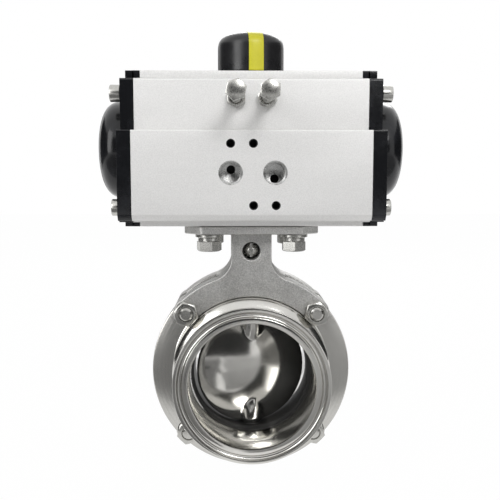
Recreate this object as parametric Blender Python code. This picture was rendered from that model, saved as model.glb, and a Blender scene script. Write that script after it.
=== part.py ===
"""Pneumatic butterfly valve: a 3 inch clamp-end valve under a rack-and-pinion actuator.

Frame: X to the right, Y along the pipe away from the front, Z up the spindle.
The origin is the centre of the pipe bore, half-way between the two ferrule faces.
Sizes are in millimetres and MM turns them into metres.
What turns is modelled with the valve shut and then carried to the rest position.
"""

import math

import bmesh
import bpy
from mathutils import Quaternion, Vector

MM = 0.001
GAP = 0.3                      # clearance between pieces that touch
ROUND = 24                     # sides of large round shapes
SMALL = 12                     # sides of small ones

# Pipe ends: clamp ferrules for 3 inch tube
BORE_R = 36.45
TUBE_WALL = 2.65
FERRULE_STEP = 6.4
FERRULE_RIM = 2.85
FERRULE_BACK_ANGLE = 20.0
GASKET_GROOVE_OFFSET = 5.2
GASKET_GROOVE_HALF = 1.7
GASKET_GROOVE_DEPTH = 1.6
MOUTH_EDGE = 0.8
FACE_TO_FACE = 92.0

# Valve body halves
FLANGE_STEP = 13.3
FLANGE_T = 6.5
HUB_WALL = 6.4
HUB_END = 22.6
HUB_CONE = 5.5
BODY_BOLT_INSET = 6.4
LUG_R = 8.0
BODY_BOLT_R = 4.0
BOSS_BORE_R = 9.9
LOWER_BORE_DEPTH = 5.4

# Seat ring and disc
SEAT_WALL = 4.75
SEAT_HALF_WIDTH = 14.7
SEAT_CROWN_RISE = 1.55
SEAT_CROWN_HALF = 9.0
DISC_RIM_HALF = 1.9
DISC_CENTRE_HALF = 8.5
DISC_BOSS_R = 8.0
DISC_BOSS_CLEARANCE = 1.8
DISC_BOSS_LENGTH = 4.5
DISC_CORE_R = 5.0

# Stem, trunnion and bushes
STEM_R = 7.0
STEM_FOOT_R = 5.2
STEM_FOOT_DEPTH = 18.0
STEM_SQUARE = 9.8
STEM_REACH = 16.2
STEM_SQUARE_RISE = 2.2
TRUNNION_R = 6.0
TRUNNION_LENGTH = 11.0
UPPER_BUSH_LENGTH = 14.0
SEAL_RING_R = 1.1

# Actuator bracket
LEG_FRONT = 21.5
LEG_MARGIN = 1.1
NECK_HALF_WIDTH = 12.0
NECK_FILLET = 14.0
PLATE_T = 4.5
PLATE_HALF_X = 39.2
PLATE_HALF_Y = 34.0
PLATE_CHAMFER = 10.0
LOCK_SCREW_R = 4.8
LOCK_SCREW_DROP = 10.7
LOCK_SCREW_LENGTH = 8.0
SLOT_WIDTH = 1.2
SLOT_DEPTH = 1.4
SHAFT_ROOM = 2.0
SHAFT_ROOM_DEPTH = 1.0
BUSH_SHELF = 1.1

# Bolts between bracket and actuator: a 70 mm circle
MOUNT_SQUARE_HALF = 24.75
MOUNT_BOLT_R = 4.0
MOUNT_BOLT_DEPTH = 10.0
WASHER_R = 8.0
WASHER_T = 1.6
SPRING_WASHER_R = 6.6
SPRING_WASHER_T = 2.0
HEX_FLATS = 13.0
HEX_HEAD_T = 5.6
NUT_T = 6.5

# Actuator body
NECK_HEIGHT = 29.9
ACTUATOR_HEIGHT = 88.8
ACTUATOR_HALF_LENGTH = 66.8
RAIL_SETBACK = 3.0
TOP_RAIL_INSET = 5.7
TOP_RAIL_H = 4.9
BOTTOM_RAIL_INSET = 6.0
BOTTOM_RAIL_H = 2.8
UPPER_WALL = 2.2
PAD_WALL = 17.5
REAR_WALL = 8.5
SILL_WALL = 10.5
PAD_TOP_DROP = 34.8
PAD_BOTTOM_RISE = 3.8
EDGE_BEVEL = 3.2
CYLINDER_WALL = 15.9

# Air connections on the pad: quarter inch ports about 24 apart and four screw holes
PORT_X = (-11.9, 12.8)
PORT_FEED_RISE = (1.8, -3.4)
PORT_THREAD_R = 5.9
PORT_MOUTH_R = 6.8
PORT_DEPTH = 12.0
PORT_FEED_R = 2.4
PAD_HOLE_R = 2.4
PAD_HOLE_DEPTH = 9.0
PAD_HOLES = [(-11.9, 16.1), (0.65, 16.1), (0.8, -18.1), (13.3, -18.1)]

# End caps
CAP_T = 7.6
DOME_MARGIN = 0.7
DOME_RISE = 15.9
DOME_POWER = 3.0
CAP_WALL = 3.0
CAP_SCREW_INSET_Y = 6.2
CAP_SCREW_DROP = 13.0
CAP_SCREW_LIFT = 10.5
CAP_SCREW_R = 3.0
CAP_SCREW_HEAD_R = 4.9
CAP_SCREW_HEAD_T = 6.0
CAP_SCREW_REACH = 20.0
SOCKET_FLATS = 5.0

# Rack and pinion
MODULE = 1.25
TEETH = 16
TOOTH_SHARE = 0.85
PRESSURE_ANGLE = math.radians(20.0)
GEAR_HALF = 12.0
RACK_HALF = 10.0
RACK_INSET = 6.5
LOWER_JOURNAL_R = 12.0
UPPER_JOURNAL_R = 10.6
BEARING_T = 2.0
BEARING_LENGTH = 9.0
SHAFT_TOP_R = 8.6
SHAFT_TOP_RISE = 13.5
RETAINER_R = 12.6
RETAINER_T = 1.2
PISTON_HEAD_T = 13.0
PISTON_OPEN_GAP = 1.6
RING_R = 1.4
PAD_LENGTH = 14.0

# Travel stops
STOP_X = 8.8
STOP_DROP = 16.3
STOP_BOLT_R = 3.0
STOP_OUT = 45.3
STOP_HEAD_T = 4.0
STOP_NUT_T = 5.0
STOP_FLATS = 10.0
CAM_R = 17.0
CAM_FLAT = 12.5
CAM_HALF_T = 4.6

# Position indicator
INDICATOR_R = 19.8
INDICATOR_LIFT = 0.9
INDICATOR_SIDE = 13.8
INDICATOR_CROWN = 10.2
CROWN_POWER = 3.0
INDICATOR_WALL = 2.6
RECESS_ROOM = 0.6
RECESS_DEPTH = 0.4
STRIPE_WIDTH = 8.7
STRIPE_T = 1.5
STRIPE_TRIM = math.radians(-7.3)

# How far the valve stands open at rest
REST_OPEN = math.radians(16.0)

# Values that follow from the sizes above
HALF_FACE = FACE_TO_FACE / 2
TUBE_R = BORE_R + TUBE_WALL
FERRULE_R = TUBE_R + FERRULE_STEP
GASKET_GROOVE_R = BORE_R + GASKET_GROOVE_OFFSET
SEAT_OUTER_R = BORE_R + SEAT_WALL
SEAT_CROWN_R = BORE_R - SEAT_CROWN_RISE
HUB_R = SEAT_OUTER_R + HUB_WALL
FLANGE_R = HUB_R + FLANGE_STEP
BODY_BOLT_CIRCLE_R = FLANGE_R - BODY_BOLT_INSET
LOWER_BORE_END = SEAT_OUTER_R + LOWER_BORE_DEPTH
LEG_OUTER_R = FLANGE_R + LEG_MARGIN
DISC_BOSS_END = SEAT_CROWN_R - DISC_BOSS_CLEARANCE
DISC_BOSS_START = DISC_BOSS_END - DISC_BOSS_LENGTH
ACTUATOR_BOTTOM = FLANGE_R + NECK_HEIGHT
STEM_TOP = ACTUATOR_BOTTOM + STEM_REACH
STEM_SQUARE_START = ACTUATOR_BOTTOM + STEM_SQUARE_RISE
PISTON_AXIS = ACTUATOR_BOTTOM + ACTUATOR_HEIGHT / 2
CYLINDER_R = ACTUATOR_HEIGHT / 2 - CYLINDER_WALL
UPPER_HALF = CYLINDER_R + UPPER_WALL
PAD_FRONT = CYLINDER_R + PAD_WALL
REAR_LOWER_HALF = CYLINDER_R + REAR_WALL
SILL_HALF = CYLINDER_R + SILL_WALL
TOP_RAIL_HALF = UPPER_HALF - TOP_RAIL_INSET
BOTTOM_RAIL_HALF = SILL_HALF - BOTTOM_RAIL_INSET
PAD_BOTTOM = ACTUATOR_BOTTOM + PAD_BOTTOM_RISE
DOME_R = CYLINDER_R + DOME_MARGIN
CAP_SCREW_Y = UPPER_HALF - CAP_SCREW_INSET_Y
RACK_BACK = CYLINDER_R - RACK_INSET
DISC_R = SEAT_CROWN_R - GAP
ACTUATOR_TOP = ACTUATOR_BOTTOM + ACTUATOR_HEIGHT
STOP_Z = ACTUATOR_TOP - STOP_DROP
PAD_TOP = ACTUATOR_TOP - PAD_TOP_DROP
PORT_Z = (PAD_TOP + PAD_BOTTOM + EDGE_BEVEL) / 2
PLATE_TOP = ACTUATOR_BOTTOM - GAP
PLATE_BOTTOM = PLATE_TOP - PLATE_T
PITCH_R = MODULE * TEETH / 2
PISTON_TRAVEL = PITCH_R * math.pi / 2
PAD_REACH = CYLINDER_R - 1.0
LUG_POINTS = [
    (sx * BODY_BOLT_CIRCLE_R * math.sqrt(0.5), sz * BODY_BOLT_CIRCLE_R * math.sqrt(0.5))
    for sz in (1, -1)
    for sx in (-1, 1)
]
MOUNT_POINTS = [
    (sx * MOUNT_SQUARE_HALF, sy * MOUNT_SQUARE_HALF) for sy in (-1, 1) for sx in (-1, 1)
]
AXES = {"X": Vector((1, 0, 0)), "-X": Vector((-1, 0, 0)), "Y": Vector((0, 1, 0)),
        "-Y": Vector((0, -1, 0)), "Z": Vector((0, 0, 1)), "-Z": Vector((0, 0, -1))}


# Finishes

def finish(name, colour, roughness, metallic):
    """A Principled material with one colour."""
    made = bpy.data.materials.new(name)
    made.use_nodes = True
    shader = made.node_tree.nodes["Principled BSDF"]
    shader.inputs["Base Color"].default_value = (*colour, 1.0)
    shader.inputs["Roughness"].default_value = roughness
    shader.inputs["Metallic"].default_value = metallic
    made.diffuse_color = (*colour, 1.0)
    return made


POLISHED = ("polished stainless steel", (0.62, 0.61, 0.58), 0.18, 1.0)
BLASTED = ("bead-blasted stainless steel", (0.56, 0.56, 0.54), 0.5, 1.0)
ANODISED = ("silver anodised aluminium", (0.80, 0.80, 0.79), 0.45, 0.8)
BLACK_COATED = ("black coated aluminium", (0.02, 0.021, 0.023), 0.35, 0.1)
FASTENER = ("stainless fastener", (0.55, 0.55, 0.53), 0.3, 1.0)
TOOL_STEEL = ("plated steel", (0.38, 0.38, 0.38), 0.35, 1.0)
RUBBER = ("black rubber", (0.02, 0.02, 0.02), 0.6, 0.0)
SLIDE_PLASTIC = ("white bearing plastic", (0.75, 0.74, 0.70), 0.5, 0.0)
BLACK_PLASTIC = ("black plastic", (0.015, 0.015, 0.017), 0.3, 0.0)
YELLOW_PLASTIC = ("yellow plastic", (0.75, 0.68, 0.04), 0.4, 0.0)


# Mesh helpers

def new_piece(name, bm, look=None, smooth=True):
    """Turn a bmesh in millimetres into a closed object that faces out."""
    bmesh.ops.remove_doubles(bm, verts=bm.verts, dist=0.0005)
    bmesh.ops.recalc_face_normals(bm, faces=bm.faces)
    bmesh.ops.scale(bm, vec=(MM, MM, MM), verts=bm.verts)
    mesh = bpy.data.meshes.new(name)
    bm.to_mesh(mesh)
    bm.free()
    if smooth:
        mesh.shade_smooth()
        mesh.set_sharp_from_angle(angle=math.radians(32))
    piece = bpy.data.objects.new(name, mesh)
    bpy.context.scene.collection.objects.link(piece)
    if look:
        mesh.materials.append(finish(f"{name} {look[0]}", *look[1:]))
    return piece


def place(piece, spot, toward="Z"):
    """Stand a piece that was built along +Z at a spot, pointing along an axis."""
    piece.location = Vector(spot) * MM
    piece.rotation_mode = "QUATERNION"
    piece.rotation_quaternion = AXES[toward].to_track_quat("Z", "Y" if toward in ("X", "-X", "Z") else "X")
    return piece


def round_ring(radius, count):
    """Points of a circle."""
    return [
        (radius * math.cos(2 * math.pi * k / count), radius * math.sin(2 * math.pi * k / count))
        for k in range(count)
    ]


def hex_ring(flats, count, sides=6):
    """Points of a regular polygon, given its width across flats."""
    step = 2 * math.pi / sides
    points = []
    for k in range(count):
        turn = 2 * math.pi * k / count
        radius = flats / 2 / math.cos(turn % step - step / 2)
        points.append((radius * math.cos(turn), radius * math.sin(turn)))
    return points


def stacked(name, rings, look=None, smooth=True):
    """A solid along +Z from rings of points, each given with its height."""
    bm = bmesh.new()
    layers = [[bm.verts.new((x, y, height)) for x, y in ring] for ring, height in rings]
    count = len(layers[0])
    for low, high in zip(layers, layers[1:]):
        for k in range(count):
            n = (k + 1) % count
            bm.faces.new((low[k], low[n], high[n], high[k]))
    bm.faces.new(list(reversed(layers[0])))
    bm.faces.new(layers[-1])
    return new_piece(name, bm, look, smooth)


def turned(name, profile, look=None, count=ROUND, closed=False):
    """A turned solid about +Z from (radius, height) points."""
    bm = bmesh.new()
    layers = []
    for radius, height in profile:
        if radius == 0:
            layers.append([bm.verts.new((0, 0, height))])
        else:
            layers.append([bm.verts.new((x, y, height)) for x, y in round_ring(radius, count)])
    pairs = list(zip(layers, layers[1:]))
    if closed:
        pairs.append((layers[-1], layers[0]))
    for low, high in pairs:
        for k in range(count):
            n = (k + 1) % count
            if len(low) == 1:
                bm.faces.new((low[0], high[n], high[k]))
            elif len(high) == 1:
                bm.faces.new((low[k], low[n], high[0]))
            else:
                bm.faces.new((low[k], low[n], high[n], high[k]))
    return new_piece(name, bm, look)


def tube(name, inner, outer, low, high, look=None, count=SMALL):
    """A plain ring with square edges, its hole kept clear of the given radius."""
    inner /= math.cos(math.pi / count)
    return turned(name, [(inner, low), (outer, low), (outer, high), (inner, high)], look, count, True)


def rod(name, radius, low, high, count=SMALL, look=None):
    """A plain cylinder along +Z."""
    return stacked(name, [(round_ring(radius, count), low), (round_ring(radius, count), high)], look)


def bore(name, radius, low, high, count=SMALL):
    """A cutter for a round hole whose flat sides stay outside the given radius."""
    return rod(name, radius / math.cos(math.pi / count), low, high, count)


def prism(name, outline, low, high, look=None, smooth=False):
    """An outline of points extruded along +Z."""
    return stacked(name, [(outline, low), (outline, high)], look, smooth)


def block(name, low, high, look=None):
    """A box between two corners."""
    outline = [(low[0], low[1]), (high[0], low[1]), (high[0], high[1]), (low[0], high[1])]
    return prism(name, outline, low[2], high[2], look)


def torus(name, middle, section, look, count=SMALL, sides=4):
    """A round-section ring about +Z."""
    profile = [
        (middle + section * math.cos(2 * math.pi * k / sides), section * math.sin(2 * math.pi * k / sides))
        for k in range(sides)
    ]
    return turned(name, profile, look, count, True)


def arc(centre, radius, start, end, steps):
    """Points along an arc, both ends included; angles in radians."""
    return [
        (
            centre[0] + radius * math.cos(start + (end - start) * k / steps),
            centre[1] + radius * math.sin(start + (end - start) * k / steps),
        )
        for k in range(steps + 1)
    ]


def boolean(piece, tool, operation):
    """Add a Boolean and turn the tool into a guide that isn't part of the object."""
    step = piece.modifiers.new(f"{operation.lower()} {tool.name}", "BOOLEAN")
    step.operation = operation
    step.solver = "EXACT"
    step.object = tool
    tool.hide_render = True
    tool.display_type = "WIRE"
    return piece


def cut(piece, *tools):
    for tool in tools:
        boolean(piece, tool, "DIFFERENCE")
    return piece


def join(piece, *tools):
    for tool in tools:
        boolean(piece, tool, "UNION")
    return piece


def guide_frame(name, spot=(0, 0, 0), turn=0.0):
    """An empty that carries moving pieces."""
    frame = bpy.data.objects.new(name, None)
    bpy.context.scene.collection.objects.link(frame)
    frame.location = Vector(spot) * MM
    frame.rotation_euler = (0, 0, turn)
    return frame


def carry(frame, *pieces):
    """Hang pieces and their Boolean tools on an empty, so that all of them turn together."""
    for piece in pieces:
        piece.parent = frame
        carry(frame, *[step.object for step in piece.modifiers])


# Valve body

def body_half_profile():
    """Half section of one body half: (radius, distance from the middle plane)."""
    rim_back = HALF_FACE - FERRULE_RIM
    slope = (FERRULE_R - TUBE_R) * math.tan(math.radians(FERRULE_BACK_ANGLE))
    cone_end = HUB_END + HUB_CONE
    groove = GASKET_GROOVE_HALF
    floor = HALF_FACE - GASKET_GROOVE_DEPTH
    return [
        (SEAT_OUTER_R + GAP, GAP / 2),
        (FLANGE_R, GAP / 2),
        (FLANGE_R, FLANGE_T - 0.6),
        (FLANGE_R - 0.6, FLANGE_T),
        (HUB_R, FLANGE_T),
        (HUB_R, HUB_END),
        (TUBE_R + 0.9, cone_end),
        (TUBE_R, cone_end + 1.5),
        (TUBE_R, rim_back - slope),
        (FERRULE_R, rim_back),
        (FERRULE_R, HALF_FACE),
        (GASKET_GROOVE_R + groove, HALF_FACE),
        (GASKET_GROOVE_R + groove * 0.5, floor),
        (GASKET_GROOVE_R - groove * 0.5, floor),
        (GASKET_GROOVE_R - groove, HALF_FACE),
        (BORE_R + MOUTH_EDGE, HALF_FACE),
        (BORE_R, HALF_FACE - MOUTH_EDGE),
        (BORE_R, SEAT_HALF_WIDTH + GAP),
        (SEAT_OUTER_R + GAP, SEAT_HALF_WIDTH + GAP),
    ]


def body_half(name, toward):
    """One half of the valve body: ferrule, tube, hub, flange and bolt bosses."""
    half = place(turned(name, body_half_profile(), POLISHED, ROUND, True), (0, 0, 0), toward)
    holes = []
    for index, (x, z) in enumerate(LUG_POINTS):
        boss = rod(f"{name} boss {index}", LUG_R, GAP / 2 + 0.2, FLANGE_T, 12)
        place(boss, (x, 0, z), toward)
        join(half, boss)
        hole = bore(f"{name} bolt hole {index}", BODY_BOLT_R + GAP, -1.0, FLANGE_T + 1.0, 8)
        holes.append(place(hole, (x, 0, z), toward))
    upper = bore(f"{name} upper stem bore", BOSS_BORE_R, BORE_R - 3.0, FLANGE_R + 2.0, 14)
    lower = bore(f"{name} lower stem bore", BOSS_BORE_R, BORE_R - 3.0, LOWER_BORE_END, 14)
    place(lower, (0, 0, 0), "-Z")
    return cut(half, upper, lower, *holes)


def seat_ring():
    """The rubber liner between the halves, crowned where the disc meets it."""
    mouth = BORE_R + 0.15
    profile = [(SEAT_OUTER_R, -SEAT_HALF_WIDTH), (SEAT_OUTER_R, SEAT_HALF_WIDTH),
               (mouth, SEAT_HALF_WIDTH)]
    steps = 2
    for k in range(steps + 1):
        share = k / steps
        across = SEAT_HALF_WIDTH - 1.0 - (SEAT_HALF_WIDTH - 1.0 - SEAT_CROWN_HALF) * share
        radius = BORE_R - (BORE_R - SEAT_CROWN_R) * math.sin(share * math.pi / 2)
        profile.append((radius, across))
    profile += [(radius, -across) for radius, across in reversed(profile[2:])]
    ring = place(turned("seat_ring", profile, RUBBER, ROUND, True), (0, 0, 0), "Y")
    upper = bore("seat upper hole", STEM_R + GAP, SEAT_CROWN_R - 4, SEAT_OUTER_R + 3, 12)
    lower = bore("seat lower hole", TRUNNION_R + GAP, SEAT_CROWN_R - 4, SEAT_OUTER_R + 3, 12)
    place(lower, (0, 0, 0), "-Z")
    return cut(ring, upper, lower)


def valve_disc():
    """The cast disc: a lens with stem bosses and the lower trunnion."""
    steps = 4
    front = []
    for k in range(steps + 1):
        radius = (DISC_R - 0.5) * k / steps
        swell = (DISC_CENTRE_HALF - DISC_RIM_HALF) * (1 - (k / steps) ** 2) ** 0.9
        front.append((radius, DISC_RIM_HALF + swell))
    profile = [(radius, -half) for radius, half in front]
    profile += [(DISC_R, -DISC_RIM_HALF + 0.5), (DISC_R, DISC_RIM_HALF - 0.5)]
    profile += list(reversed(front))
    disc = place(turned("disc", profile, POLISHED, ROUND), (0, 0, 0), "Y")
    end = [(DISC_CORE_R, 0), (DISC_CORE_R, DISC_BOSS_START - DISC_BOSS_R * 1.5),
           (DISC_BOSS_R * 0.84, DISC_BOSS_START - DISC_BOSS_R),
           (DISC_BOSS_R, DISC_BOSS_START), (DISC_BOSS_R, DISC_BOSS_END - 0.8),
           (DISC_BOSS_R - 0.8, DISC_BOSS_END), (0, DISC_BOSS_END)]
    boss_profile = [(radius, -height) for radius, height in reversed(end)] + end[1:]
    boss = turned("disc boss", boss_profile, None, SMALL)
    trunnion = rod("disc trunnion", TRUNNION_R, DISC_BOSS_END - 4, SEAT_CROWN_R + TRUNNION_LENGTH, 12)
    place(trunnion, (0, 0, 0), "-Z")
    socket = bore("disc socket", STEM_FOOT_R + GAP, DISC_R - STEM_FOOT_DEPTH, SEAT_OUTER_R, 12)
    rim_room = bore("disc rim room", STEM_R + GAP, DISC_BOSS_END, SEAT_OUTER_R, 12)
    join(disc, boss, trunnion)
    return cut(disc, socket, rim_room)


def stem():
    """The round stem with its square top end."""
    foot = DISC_R - STEM_FOOT_DEPTH + GAP
    count = 12
    rings = [
        (round_ring(STEM_FOOT_R - 0.6, count), foot),
        (round_ring(STEM_FOOT_R, count), foot + 0.6),
        (round_ring(STEM_FOOT_R, count), DISC_BOSS_END + GAP),
        (round_ring(STEM_R, count), DISC_BOSS_END + GAP),
        (round_ring(STEM_R, count), STEM_SQUARE_START),
        (hex_ring(STEM_SQUARE, count, 4), STEM_SQUARE_START + 1.0),
        (hex_ring(STEM_SQUARE, count, 4), STEM_TOP - 0.8),
        (hex_ring(STEM_SQUARE - 1.4, count, 4), STEM_TOP),
    ]
    return stacked("stem", rings, TOOL_STEEL)


def stem_bushes():
    """Bearing bushes above and below the disc, and the seal above the upper one."""
    start = SEAT_OUTER_R + 2 * GAP
    outer = BOSS_BORE_R - GAP
    upper = tube("upper_stem_bush", STEM_R + GAP, outer, start, start + UPPER_BUSH_LENGTH, SLIDE_PLASTIC)
    length = LOWER_BORE_END - start - GAP
    lower = tube("lower_stem_bush", TRUNNION_R + GAP, outer, start, start + length, SLIDE_PLASTIC)
    place(lower, (0, 0, 0), "-Z")
    middle = STEM_R + GAP + SEAL_RING_R
    seal = torus("stem_seal", middle, SEAL_RING_R, RUBBER, SMALL, 4)
    place(seal, (0, 0, start + UPPER_BUSH_LENGTH + GAP + SEAL_RING_R))
    return upper, lower, seal


# Bracket

def bracket_outline():
    """Front outline of neck and legs in X and Z, from the right neck edge round to the left."""
    fillet_z = math.sqrt((LEG_OUTER_R + NECK_FILLET) ** 2 - (NECK_HALF_WIDTH + NECK_FILLET) ** 2)
    fillet_x = NECK_HALF_WIDTH + NECK_FILLET
    tangent = math.atan2(fillet_z, fillet_x)
    quarter = math.pi / 4
    share = (LEG_OUTER_R ** 2 + BODY_BOLT_CIRCLE_R ** 2 - LUG_R ** 2) / (
        2 * LEG_OUTER_R * BODY_BOLT_CIRCLE_R)
    meet = quarter + math.acos(share)
    lug = (BODY_BOLT_CIRCLE_R * math.cos(quarter), BODY_BOLT_CIRCLE_R * math.sin(quarter))
    meet_point = (LEG_OUTER_R * math.cos(meet), LEG_OUTER_R * math.sin(meet))
    lug_start = math.atan2(meet_point[1] - lug[1], meet_point[0] - lug[0])
    inner = HUB_R + GAP
    share = (inner ** 2 + BODY_BOLT_CIRCLE_R ** 2 - LUG_R ** 2) / (2 * inner * BODY_BOLT_CIRCLE_R)
    dip = quarter - math.acos(share)
    lug_end = math.atan2(inner * math.sin(dip) - lug[1], inner * math.cos(dip) - lug[0])
    right = [(NECK_HALF_WIDTH, PLATE_BOTTOM + PLATE_T / 2)]
    right += arc((fillet_x, fillet_z), NECK_FILLET, math.pi, math.pi + tangent, 6)
    right += arc((0, 0), LEG_OUTER_R, tangent, meet, 4)[1:]
    right += arc(lug, LUG_R, lug_start, lug_end, 8)[1:]
    right += arc((0, 0), inner, dip, math.pi / 2, 6)[1:]
    left = [(-x, z) for x, z in reversed(right[:-1])]
    return right + left


def actuator_bracket():
    """The cast bracket: mounting plate, neck and two pairs of legs that straddle the flanges."""
    outline = [(x, -z) for x, z in bracket_outline()]
    bracket = prism("actuator_bracket", outline, -LEG_FRONT, LEG_FRONT, BLASTED, True)
    place(bracket, (0, 0, 0), "Y")
    bracket.rotation_mode = "XYZ"
    bracket.rotation_euler = (-math.pi / 2, 0, 0)
    wide = PLATE_HALF_X
    deep = PLATE_HALF_Y
    nip = PLATE_CHAMFER
    corners = [(wide, -deep + nip), (wide, deep - nip), (wide - nip, deep), (-wide + nip, deep),
               (-wide, deep - nip), (-wide, -deep + nip), (-wide + nip, -deep), (wide - nip, -deep)]
    plate = prism("bracket plate", corners, PLATE_BOTTOM, PLATE_TOP)
    flange_room = bore("bracket flange room", LEG_OUTER_R + GAP, -FLANGE_T - GAP, FLANGE_T + GAP, 40)
    place(flange_room, (0, 0, 0), "Y")
    lug_room = [
        place(bore(f"bracket lug room {x:.0f}", LUG_R + GAP, -FLANGE_T - GAP, FLANGE_T + GAP, 12), (x, 0, z), "Y")
        for x, z in LUG_POINTS[:2]
    ]
    stem_room = bore("bracket stem bore", BOSS_BORE_R, HUB_R - 4, PLATE_TOP + 2, SMALL)
    shaft_room = bore("bracket shaft room", LOWER_JOURNAL_R + SHAFT_ROOM, PLATE_BOTTOM - SHAFT_ROOM_DEPTH,
                      PLATE_TOP + 2, 24)
    holes = [
        place(bore(f"bracket bolt hole {x:.0f}", BODY_BOLT_R + GAP, -LEG_FRONT - 2, LEG_FRONT + 2, 8), (x, 0, z), "Y")
        for x, z in LUG_POINTS[:2]
    ]
    holes += [
        place(bore(f"bracket mount hole {k}", MOUNT_BOLT_R + GAP, -1, PLATE_T + 1, 8), (x, y, PLATE_BOTTOM))
        for k, (x, y) in enumerate(MOUNT_POINTS)
    ]
    screw_z = PLATE_BOTTOM - LOCK_SCREW_DROP
    screw_hole = bore("bracket screw hole", LOCK_SCREW_R + GAP, BOSS_BORE_R - 2, LEG_FRONT + 2, 12)
    place(screw_hole, (0, 0, screw_z), "-Y")
    join(bracket, plate)
    return cut(bracket, flange_room, *lug_room, stem_room, shaft_room, *holes, screw_hole)


def neck_bush():
    """The guide bush of the stem inside the neck."""
    low = LEG_OUTER_R + BUSH_SHELF
    high = PLATE_BOTTOM - SHAFT_ROOM_DEPTH - GAP
    return tube("neck_bush", STEM_R + GAP, BOSS_BORE_R - GAP, low, high, SLIDE_PLASTIC)


def stem_lock_screw():
    """The slotted screw in the neck that keeps the guide bush in place."""
    start = BOSS_BORE_R + GAP
    length = LOCK_SCREW_LENGTH
    profile = [(0, 0), (LOCK_SCREW_R - 0.6, 0), (LOCK_SCREW_R, 0.6), (LOCK_SCREW_R, length - 0.9),
               (LOCK_SCREW_R * 0.75, length - 0.2), (0, length)]
    screw = turned("stem_lock_screw", profile, FASTENER, 12)
    spot = (0, -start, PLATE_BOTTOM - LOCK_SCREW_DROP)
    place(screw, spot, "-Y")
    slot = block("screw slot", (-SLOT_WIDTH / 2, -start - length - 1, spot[2] - LOCK_SCREW_R - 1),
                 (SLOT_WIDTH / 2, -start - length + SLOT_DEPTH, spot[2] + LOCK_SCREW_R + 1))
    return cut(screw, slot)


# Fasteners

def hex_bolt(name, head_t, shank_r, reach, look=FASTENER, flats=HEX_FLATS, count=12):
    """A hex bolt whose head sits on z = 0 and whose shank goes down to -reach."""
    rings = [
        (round_ring(shank_r - 0.6, count), -reach),
        (round_ring(shank_r, count), -reach + 0.8),
        (round_ring(shank_r, count), 0),
        (hex_ring(flats, count), 0),
        (hex_ring(flats, count), head_t - 0.9),
        (round_ring(flats / 2 * 0.95, count), head_t),
    ]
    return stacked(name, rings, look)


def hex_nut(name, thickness, hole_r, look=FASTENER, flats=HEX_FLATS, count=12):
    """A hex nut from z = 0 upward, chamfered on its outer face."""
    hole_r /= math.cos(math.pi / count)
    bm = bmesh.new()
    rings = [
        (round_ring(hole_r, count), 0),
        (hex_ring(flats, count), 0),
        (hex_ring(flats, count), thickness - 0.8),
        (round_ring(flats / 2 * 0.96, count), thickness),
        (round_ring(hole_r, count), thickness),
    ]
    layers = [[bm.verts.new((x, y, height)) for x, y in ring] for ring, height in rings]
    for low, high in zip(layers, layers[1:] + layers[:1]):
        for k in range(count):
            n = (k + 1) % count
            bm.faces.new((low[k], low[n], high[n], high[k]))
    return new_piece(name, bm, look)


def face_centre(piece):
    """Turn a placed hexagon about its own axis until one flat faces the pipe."""
    inward = Vector((-piece.location.x, 0, -piece.location.z))
    inward.rotate(piece.rotation_quaternion.inverted())
    turn = math.atan2(inward.y, inward.x) - math.pi / 6
    piece.rotation_quaternion = piece.rotation_quaternion @ Quaternion((0, 0, 1), turn)
    return piece


def body_fasteners():
    """Four bolts from the rear through both halves, with nuts at the front."""
    made = []
    for index, (x, z) in enumerate(LUG_POINTS, 1):
        grip = GAP + (LEG_FRONT if z > 0 else FLANGE_T)
        bolt = hex_bolt(f"body_bolt_{index}", HEX_HEAD_T, BODY_BOLT_R, 2 * grip + NUT_T + 1.2)
        made.append(face_centre(place(bolt, (x, grip, z), "Y")))
        nut = hex_nut(f"body_nut_{index}", NUT_T, BODY_BOLT_R + GAP)
        made.append(face_centre(place(nut, (x, -grip, z), "-Y")))
    return made


def mount_fasteners():
    """Four bolts with washers from under the bracket's plate into the actuator."""
    made = []
    for index, (x, y) in enumerate(MOUNT_POINTS, 1):
        z = PLATE_BOTTOM - GAP
        hole = MOUNT_BOLT_R + GAP
        washer = tube(f"mount_washer_{index}", hole, WASHER_R, -WASHER_T, 0, FASTENER, 12)
        made.append(place(washer, (x, y, z)))
        z -= WASHER_T + GAP
        spring = tube(f"mount_spring_washer_{index}", hole, SPRING_WASHER_R, -SPRING_WASHER_T, 0,
                      FASTENER, 10)
        made.append(place(spring, (x, y, z)))
        z -= SPRING_WASHER_T + GAP
        reach = ACTUATOR_BOTTOM - z + MOUNT_BOLT_DEPTH
        bolt = hex_bolt(f"mount_bolt_{index}", HEX_HEAD_T, MOUNT_BOLT_R, reach)
        made.append(place(bolt, (x, y, z), "-Z"))
    return made


# Actuator housing

def section_outline():
    """Main outline of the extruded body in Y and Z, without its top and bottom rails."""
    top = ACTUATOR_TOP - TOP_RAIL_H
    low = ACTUATOR_BOTTOM + BOTTOM_RAIL_H
    bevel = EDGE_BEVEL
    return [
        (-UPPER_HALF + 1.4, top),
        (-UPPER_HALF, top - 1.4),
        (-UPPER_HALF, PAD_TOP + 1.2),
        (-UPPER_HALF - 0.8, PAD_TOP),
        (-PAD_FRONT + 0.8, PAD_TOP),
        (-PAD_FRONT, PAD_TOP - 0.8),
        (-PAD_FRONT, PAD_BOTTOM + bevel),
        (-PAD_FRONT + bevel * 0.75, PAD_BOTTOM),
        (-SILL_HALF, PAD_BOTTOM),
        (-SILL_HALF, low),
        (SILL_HALF - 2.0, low),
        (REAR_LOWER_HALF, PAD_BOTTOM),
        (REAR_LOWER_HALF, PAD_TOP - 0.8),
        (REAR_LOWER_HALF - 0.8, PAD_TOP),
        (UPPER_HALF + 0.8, PAD_TOP),
        (UPPER_HALF, PAD_TOP + 1.2),
        (UPPER_HALF, top - 1.4),
        (UPPER_HALF - 1.4, top),
    ]


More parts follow.
